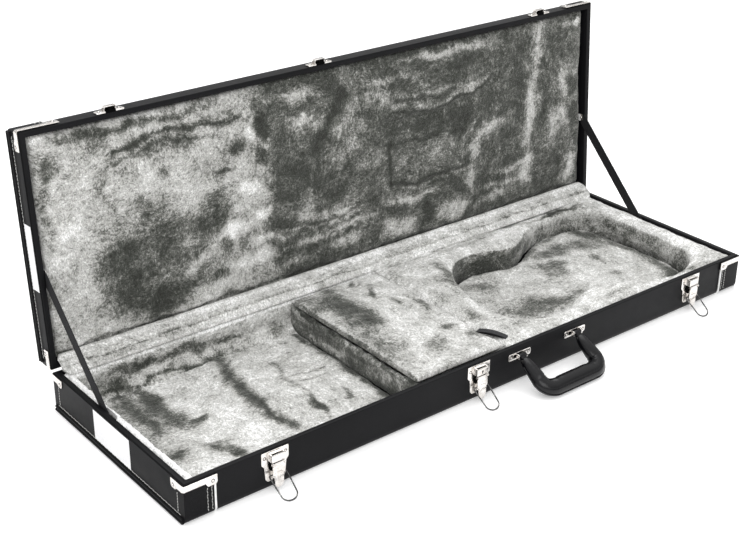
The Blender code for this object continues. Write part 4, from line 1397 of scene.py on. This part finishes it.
def compartment_lid(pad):
    """A thin padded board with rounded edges and a rounded rear corner."""
    left, right, rear = pad.low[0], pad.high[0], pad.high[1]
    corner = 24 * MM

    def puffed(points):
        reach = points[:, :2] - [left + corner, rear - corner]
        away = np.hypot(reach[:, 0], reach[:, 1])
        outside = (reach[:, 0] < 0) & (reach[:, 1] > 0) & (away > corner)
        pull = corner / np.maximum(away, 1e-6)
        points[outside, :2] = [left + corner, rear - corner] + reach[outside] * pull[outside, None]
        edge = np.minimum(points[:, 0] - left, rear - points[:, 1])
        edge = np.where(outside, 0, edge)
        inside = np.clip(edge / (13 * MM), 0, 1)
        top = points[:, 2] > PAD_TOP - 2.6 * MM
        ease = smooth_step(right - points[:, 0], -40 * MM, 90 * MM)
        crown = (1.6 + 2.6 * ease) * MM * np.sqrt(1 - (1 - inside) ** 2)
        flat = points * [1, 1, 0]
        x, y = flat[:, 0] / MM, flat[:, 1] / MM
        crown += inside * lumps(flat, (45, 1.6), (14, 1.1))
        crown += 2.0 * MM * near_line(x, y, 5, [(-60, 140), (-38, 90), (-30, 40), (-45, -20)])
        crown -= 2.0 * MM * near_line(x, y, 4, [(-50, 142), (-28, 92), (-20, 42), (-34, -20)])
        points[top, 2] += crown[top]
        return points

    p, n = pad.finish(((12, 0.6), (5, 0.5)), puffed, 6 * MM)
    u, v = ragged(p[:, 0], p[:, 1])
    nap_and_painted_light = 0.76 + spots(u, v, [
        (-102, 72, 30, 76, -0.42, 2), (-85, 20, 16, 26, -0.25, -20), (-125, -55, 20, 88, -0.2),
        (-34, 92, 6, 26, -0.35, -30), (-22, 45, 9, 12, -0.25), (-12, -66, 15, 9, -0.42, -20),
        (5, 20, 8, 28, -0.25), (-10, 112, 12, 9, -0.2), (-60, -90, 16, 20, -0.2), (8, -105, 14, 12, -0.35),
        (-60, 20, 20, 60, 0.08, -20), (-132, 130, 14, 18, -0.2),
    ])
    nap_and_painted_light += strips(u, v, [(-0.3, 3.5, (-50, 118), (-30, 142), (10, 150))])
    # Painted shade: the faces turned to the left are mid grey, and the lowest part of the edges, in the slit
    # beside the walls, near black.
    nap_and_painted_light[n[:, 0] < -0.6] = 0.5
    nap_and_painted_light[p[:, 2] < 53.4] = 0.16
    pad.ride(nap_and_painted_light, 0.55)


def lid_liner(pad):
    """The crumpled plush inside the lid, in distances from the middle and from the hinge in mm."""
    creases = [
        (2.6, 4.5, (70, 240), (110, 230), (150, 236), (190, 232), (235, 240), (300, 246)),
        (2.2, 4.0, (90, 258), (150, 252), (200, 256), (260, 252), (320, 258)),
        (1.8, 4.0, (-395, 284), (-350, 296), (-290, 300), (-230, 294), (-200, 286)),
        (1.6, 4.0, (-400, 268), (-360, 283), (-300, 286), (-250, 278)),
        (1.8, 5.0, (-150, 265), (-165, 225), (-150, 190)),
        (1.8, 4.0, (85, 118), (165, 114), (245, 122)), (1.5, 4.0, (-70, 98), (0, 104), (60, 96)),
        (1.6, 4.0, (250, 190), (262, 150), (255, 110), (262, 60)),
        (1.5, 5.0, (380, 60), (395, 160), (418, 320)),
    ]

    def folds(points):
        down = points[:, 2] < 78 * MM
        x, d = points[down, 0] / MM, (AXIS.y - points[down, 1]) / MM
        flat = points[down] * [1, 1, 0]
        depth = lumps(flat, (90, 2.2), (30, 1.4), (11, 0.9), (5, 0.4))
        x, d = ragged(x, d)
        for height, width, *places in creases:
            depth += height * MM * near_line(x, d, width, places)
            below = [(u, v - 2.2 * width) for u, v in places]
            depth -= 0.8 * height * MM * near_line(x, d, width, below)
        bulges = (
            (95, 46, 42, 20), (213, 45, 42, 20), (10, 225, 28, 26), (-514, 318, 10, 10), (510, 318, 14, 11),
        )
        for cx, cd, rx, rd in bulges:
            depth += 2.4 * MM * np.exp(-((((x - cx) / rx) ** 2 + ((d - cd) / rd) ** 2) ** 2))
        depth -= 2.5 * MM * near_line(x, d, 3, [(-520, 19), (520, 19)])
        points[down, 2] -= depth
        return points

    p, _ = pad.finish(((40, 0.3),), folds, drop=4 * MM)
    x, d = ragged(p[:, 0], AXIS.y / MM - p[:, 1])
    wander = lumps(p * [MM, MM, 0], (60, 26.0), (22, 12.0)) / MM
    nap_and_painted_light = 0.62 - 0.28 * smooth_step(x + wander, -176, -138) + 0.02 * smooth_step(x, 300, 360)
    # Painted highlights: the spots at (95, 45), (213, 45), (10, 225), (-512, 318) and (510, 318) lighten the
    # raised bulges.
    nap_and_painted_light += spots(x, d, [
        # Left: light, with the dark patch near the bottom
        (-483, 150, 34, 150, 0.16), (-310, 225, 110, 40, 0.08), (-352, 120, 86, 60, -0.26),
        (-405, 95, 34, 62, -0.22), (-345, 50, 44, 24, -0.32), (-512, 318, 12, 12, 0.35),
        (-250, 155, 28, 26, -0.3), (-322, 240, 13, 9, -0.2), (-366, 196, 12, 20, -0.22),
        (-420, 315, 100, 8, -0.25), (-300, 319, 90, 6, -0.15), (-500, 285, 20, 18, -0.25),
        (-507, 230, 7, 60, -0.2), (-330, 280, 62, 11, -0.18), (-240, 40, 50, 14, 0.15),
        (-440, 28, 70, 16, 0.12),
        # The ragged border between light and dark
        (-156, 272, 17, 24, -0.4), (-203, 246, 10, 10, -0.36), (-226, 215, 15, 7, -0.36),
        (-165, 224, 10, 15, -0.3), (-180, 260, 15, 9, 0.25), (-180, 180, 20, 12, 0.3),
        (-215, 124, 25, 13, 0.36), (-164, 136, 20, 10, 0.34), (-152, 90, 28, 9, 0.34, -10),
        (-195, 68, 40, 9, 0.25), (-285, 90, 30, 8, 0.26, 30), (-205, 95, 12, 10, -0.2),
        (-250, 60, 18, 9, -0.28, 20), (-235, 110, 10, 14, -0.25), (-300, 135, 14, 20, 0.12),
        # Middle: dark, with lighter patches
        (-95, 300, 34, 12, 0.3), (-72, 254, 46, 17, 0.24, -6), (-95, 268, 24, 14, 0.2),
        (22, 268, 42, 16, 0.22), (75, 292, 55, 8, 0.18), (10, 225, 30, 28, 0.13), (-28, 198, 24, 22, 0.10),
        (40, 170, 30, 14, 0.12), (165, 150, 76, 28, 0.12), (292, 166, 26, 15, 0.28),
        (268, 142, 14, 20, 0.28), (256, 90, 10, 28, 0.24), (316, 172, 22, 12, 0.24),
        (-95, 120, 32, 11, 0.16), (-45, 105, 52, 6, 0.25, -3), (-75, 70, 44, 8, 0.3), (-5, 80, 52, 6, 0.25),
        (-10, 48, 44, 11, 0.26), (-110, 40, 30, 9, 0.2), (96, 90, 42, 10, 0.22), (140, 84, 52, 6, 0.22),
        (95, 45, 40, 18, 0.34), (213, 45, 42, 19, 0.34, -8), (160, 52, 10, 20, -0.2, 20),
        (252, 38, 12, 15, -0.3, -30), (355, 90, 52, 6, 0.22), (325, 64, 62, 7, 0.18),
        (305, 44, 52, 7, 0.22), (175, 318, 60, 6, 0.3), (255, 318, 28, 8, 0.34), (175, 205, 100, 12, -0.12),
        (-120, 200, 20, 60, -0.08), (225, 285, 100, 14, -0.08),
        # Right: soft light patches beside the bright stripe
        (450, 140, 20, 36, 0.24), (478, 172, 11, 60, 0.22, 8), (475, 222, 13, 28, 0.2),
        (496, 60, 13, 34, 0.3), (510, 318, 9, 9, 0.36), (485, 320, 20, 6, 0.2), (460, 64, 9, 30, -0.16),
        (365, 200, 16, 110, -0.08), (430, 230, 14, 90, -0.06), (510, 290, 12, 24, 0.12),
    ])
    # Painted light along the folds: the bright stripe on the ridge from x 386 to 418, dark lines along the
    # creases at the upper left, light and dark lines on the wavy creases from x 55 to 320, a light ring round
    # the bulge at x 10, the dark line on the crease at d 118 with a light line above it, a light line on the
    # crease near d 95, and the dark groove at d 18 with a lighter edge below it.
    nap_and_painted_light += strips(x, d, [
        (0.30, 13, (386, 60), (390, 130), (400, 210), (418, 322)),
        (-0.38, 4.5, (-400, 281), (-370, 291), (-295, 298), (-205, 289)),
        (-0.2, 2.5, (-396, 268), (-350, 282), (-290, 284), (-240, 274)),
        (0.12, 3.5, (80, 262), (140, 256), (190, 259), (270, 256), (320, 262)),
        (0.17, 5.0, (90, 246), (130, 238), (180, 236), (235, 245), (275, 254)),
        (-0.3, 1.8, (84, 240), (130, 231), (180, 229), (235, 238), (290, 250)),
        (-0.16, 3.0, (100, 252), (160, 248), (220, 252)), (0.12, 3.0, (55, 268), (85, 250), (110, 234)),
        (0.1, 3.0, (-20, 232), (5, 246), (30, 236), (38, 215)),
        (0.1, 3.0, (120, 290), (230, 280), (330, 284)),
        (-0.25, 3.5, (82, 118), (165, 112), (248, 120)), (-0.2, 3.5, (84, 182), (165, 184), (246, 180)),
        (-0.22, 3.5, (80, 120), (80, 184)), (0.16, 2.5, (90, 108), (170, 104), (250, 112)),
        (-0.3, 9, (-10, 295), (-30, 255), (-62, 215)), (-0.25, 4, (-520, 18), (520, 18)),
        (0.15, 5, (-520, 6), (520, 6)), (0.22, 3, (-120, 96), (-60, 90), (20, 95)),
    ])
    pad.ride(nap_and_painted_light, 0.5)


def dress_pads():
    pads = make_pads()
    bay_walls(pads["bay_side_padding"])
    bay_floor(pads["headstock_pad"])
    body_block(pads["body_block"])
    hollow_floor(pads["cavity_pad"])
    compartment_walls(pads)
    compartment_lid(pads["compartment_lid"])
    lid_liner(pads["lid_liner"])


def gusset():
    """The plush roll along the hinge line. It keeps clear of the hinge axis."""
    outline = [
        (149, 57.8), (157, 57.8), (160.4, 60.2), (162.2, 66.5), (166.5, 70.8), (173, 73.0), (181.5, 73.6),
        (182.8, 79), (176, 78.4), (166, 74.2), (157, 67.8), (149.4, 61.6),
    ]
    smooth_line = rounded(scaled(outline), 2.6 * MM, 3)
    rings = []
    cy, cz = 166 * MM, 70 * MM
    reach = 524.2 * MM
    steps = 210
    for i in range(steps + 1):
        x = -reach + 2 * reach * i / steps
        edge = min(1.0, (reach - abs(x)) / (6 * MM))
        shrink = 0.55 + 0.45 * math.sqrt(max(edge, 0.0))
        ring = []
        for y, z in smooth_line:
            wander = noise.noise(Vector((x * 24, y * 90, z * 90))) * 0.9 * MM
            wander += noise.noise(Vector((x * 120, y * 200, z * 200))) * 0.6 * MM
            lift = wander if z + y > 231 * MM else 0.0
            ring.append((x, cy + (y - cy) * shrink - lift * 0.6, cz + (z - cz) * shrink + lift * 0.8))
        rings.append(ring)
    bm = tube(bmesh.new(), rings)
    obj = piece("hinge_plush_roll", bm, PLUSH, None, sharp=80.0)
    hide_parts("hinge_gusset")
    p = vectors(obj.data, "co") / MM
    u, v = ragged(p[:, 0], p[:, 1] * 4)
    # Painted shade in the joins at y 158.5 and 182, and a painted highlight along the crown at y 174; the
    # faint dark line at y 166 is the seam.
    nap_and_painted_light = 0.80 + strips(u, v / 4, [
        (-0.28, 0.9, (-530, 158.5), (530, 158.5)), (-0.14, 0.8, (-530, 166), (530, 166)),
        (-0.3, 1.5, (-530, 182), (530, 182)), (0.12, 2.2, (-530, 174), (530, 174)),
    ])
    nap_and_painted_light += spots(u, v / 4, [(-420, 155, 90, 4, -0.15), (120, 163, 200, 1.5, -0.15)])
    paint(obj.data, nap_and_painted_light)
    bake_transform(obj)


# Straps, tab, labels


def stay_strap(side):
    """The webbing strap, a straight band from the base to the open lid."""
    sign = SIDES[side]
    low = Vector((STRAP_Y, STRAP_LOW_Z))
    high = (SHUT_TO_OPEN @ Vector((0, STRAP_Y, STRAP_HIGH_Z))).yz
    along = (high - low).normalized()
    across = Vector((-along.y, along.x))
    half = 8.5 * MM
    outer, inner = 524.9 * MM, 523.5 * MM
    shares = (-1, -0.4, 0.4, 1)
    edge = [(share, outer) for share in shares] + [(share, inner) for share in reversed(shares)]
    rings = []
    steps = 40
    for i in range(steps + 1):
        t = i / steps
        centre = low + (high - low) * t
        width = half + 0.15 * MM * math.sin(i * 1.7)
        rings.append([(sign * x, *(centre + across * width * share)) for share, x in edge])
    obj = piece(f"webbing_strap_{side}", tube(bmesh.new(), rings), WEBBING, None)
    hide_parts(f"stay_strap_{side}")
    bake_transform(obj)
    for kind, z in (("base", STRAP_LOW_Z), ("lid", STRAP_HIGH_Z)):
        head = dome(bmesh.new(), (sign * 521.9 * MM, STRAP_Y, z), (-sign, 0, 0), 2.4 * MM, 1.0 * MM)
        piece(f"strap_rivet_{kind}_{side}", head, NICKEL, kind)
        dress(f"strap_clip_{kind}_{side}", NICKEL)
    low_z = STRAP_HIGH_Z + 1 * MM
    near, far = sorted((sign * 520.6 * MM, sign * 521.4 * MM))
    bracket = block((near, STRAP_Y - 6 * MM, low_z), (far, STRAP_Y + 6 * MM, low_z + 12 * MM))
    piece(f"strap_bracket_{side}", bracket, PIPING, "lid")


def pull_tab():
    """A folded ribbon loop sewn under the edge of the compartment's lid."""
    start = Vector((13 * MM, -100 * MM, 0))
    end = Vector((33 * MM, -142 * MM, 0))
    along = (end - start).normalized()
    side = Vector((-along.y, along.x, 0))
    length = (end - start).length
    thickness = Vector((0, 0, 0.35 * MM))
    rings = []
    steps = 18
    for i in range(2 * steps + 1):
        t = i / steps if i <= steps else 2 - i / steps
        upper = i > steps
        rise = 60.8 * MM + 3.0 * MM * math.sin(math.pi * min(t, 0.98)) if upper else 60.2 * MM
        centre = start + along * length * t + Vector((0, 0, rise))
        half = side * 5.6 * MM * (1 - 0.15 * t)
        a, b = centre - half, centre + half
        rings.append([a + thickness, b + thickness, b - thickness, a - thickness])
    loop = tube(bmesh.new(), rings)
    piece("ribbon_loop", loop, RIBBON, "compartment_door", ["compartment_pull_tab"])


# Studio


def studio():
    """A white floor, a world in grey steps that the metal mirrors, and two soft lights."""
    bm = bmesh.new()
    bmesh.ops.create_grid(bm, x_segments=8, y_segments=8, size=FLOOR_REACH)
    mesh = bpy.data.meshes.new("floor")
    bm.to_mesh(mesh)
    bm.free()
    mesh.materials.append(floor_material())
    floor = placed("floor", mesh)
    floor.location = (0, 0, -0.2 * MM)

    world = bpy.data.worlds.new("studio")
    world.use_nodes = True
    tree = world.node_tree
    direction = tree.nodes.new("ShaderNodeTexCoord").outputs["Generated"]
    height = tree.nodes.new("ShaderNodeSeparateXYZ")
    tree.links.new(direction, height.inputs["Vector"])
    sky = tree.nodes.new("ShaderNodeValToRGB")
    tree.links.new(height.outputs["Z"], sky.inputs["Fac"])
    steps = ((0.0, 0.42), (0.14, 0.2), (0.28, 1.0), (0.36, 1.0), (0.46, 0.34), (0.70, 1.0), (1.0, 1.0))
    fill_ramp(sky, [(position, (grey, grey, grey)) for position, grey in steps])
    background = tree.nodes["Background"]
    tree.links.new(sky.outputs["Color"], background.inputs["Color"])
    background.inputs["Strength"].default_value = 1.15
    bpy.context.scene.world = world

    for name, place, aim, size, power in (
        ("overhead", (0.3, 0.9, 2.6), (0, 0, 0), 2.6, 40.0),
        ("front_fill", (-1.6, -2.6, 2.3), (0, 0, 0.1), 2.4, 50.0),
    ):
        light = bpy.data.lights.new(name, "AREA")
        light.shape = "SQUARE"
        light.size = size
        light.energy = power
        lamp = placed(name, light)
        lamp.location = place
        facing = Vector(aim) - Vector(place)
        lamp.rotation_euler = facing.to_track_quat("-Z", "Y").to_euler()


def camera():
    data = bpy.data.cameras.new("camera")
    data.lens = CAMERA_LENS
    data.sensor_width = 36.0
    data.clip_start = 0.05
    data.clip_end = 200.0
    obj = placed("camera", data)
    facing = Euler((math.radians(90 + CAMERA_PITCH), 0, math.radians(-CAMERA_HEADING))).to_matrix()
    rolled = facing.to_4x4() @ Matrix.Rotation(math.radians(CAMERA_ROLL), 4, "Z")
    obj.matrix_world = Matrix.Translation(CAMERA_PLACE) @ rolled
    bpy.context.scene.camera = obj
    bpy.context.scene.view_settings.view_transform = "Standard"


def main():
    dress_pads()
    gusset()
    for kind in ("base", "lid"):
        covering(kind)
        dress(f"{kind}_label", PAPER)
        for side in SIDES:
            end_cap(kind, side)
            for end in ENDS:
                corner_clamp(kind, end, side)
    for side, x in LATCHES.items():
        latch_plate(side, x)
        latch_lever(side, x)
        latch_bail(side, x)
        latch_catch(side, x)
    for side, sign in SIDES.items():
        handle_plate(side, HANDLE_X + sign * HANDLE_HALF)
        stay_strap(side)
    handle()
    for side, x in HINGES.items():
        hinge_screws(side, x)
        dress(f"hinge_base_leaf_{side}", NICKEL)
        dress(f"hinge_lid_leaf_{side}", NICKEL)
    pull_tab()
    studio()
    camera()


main()
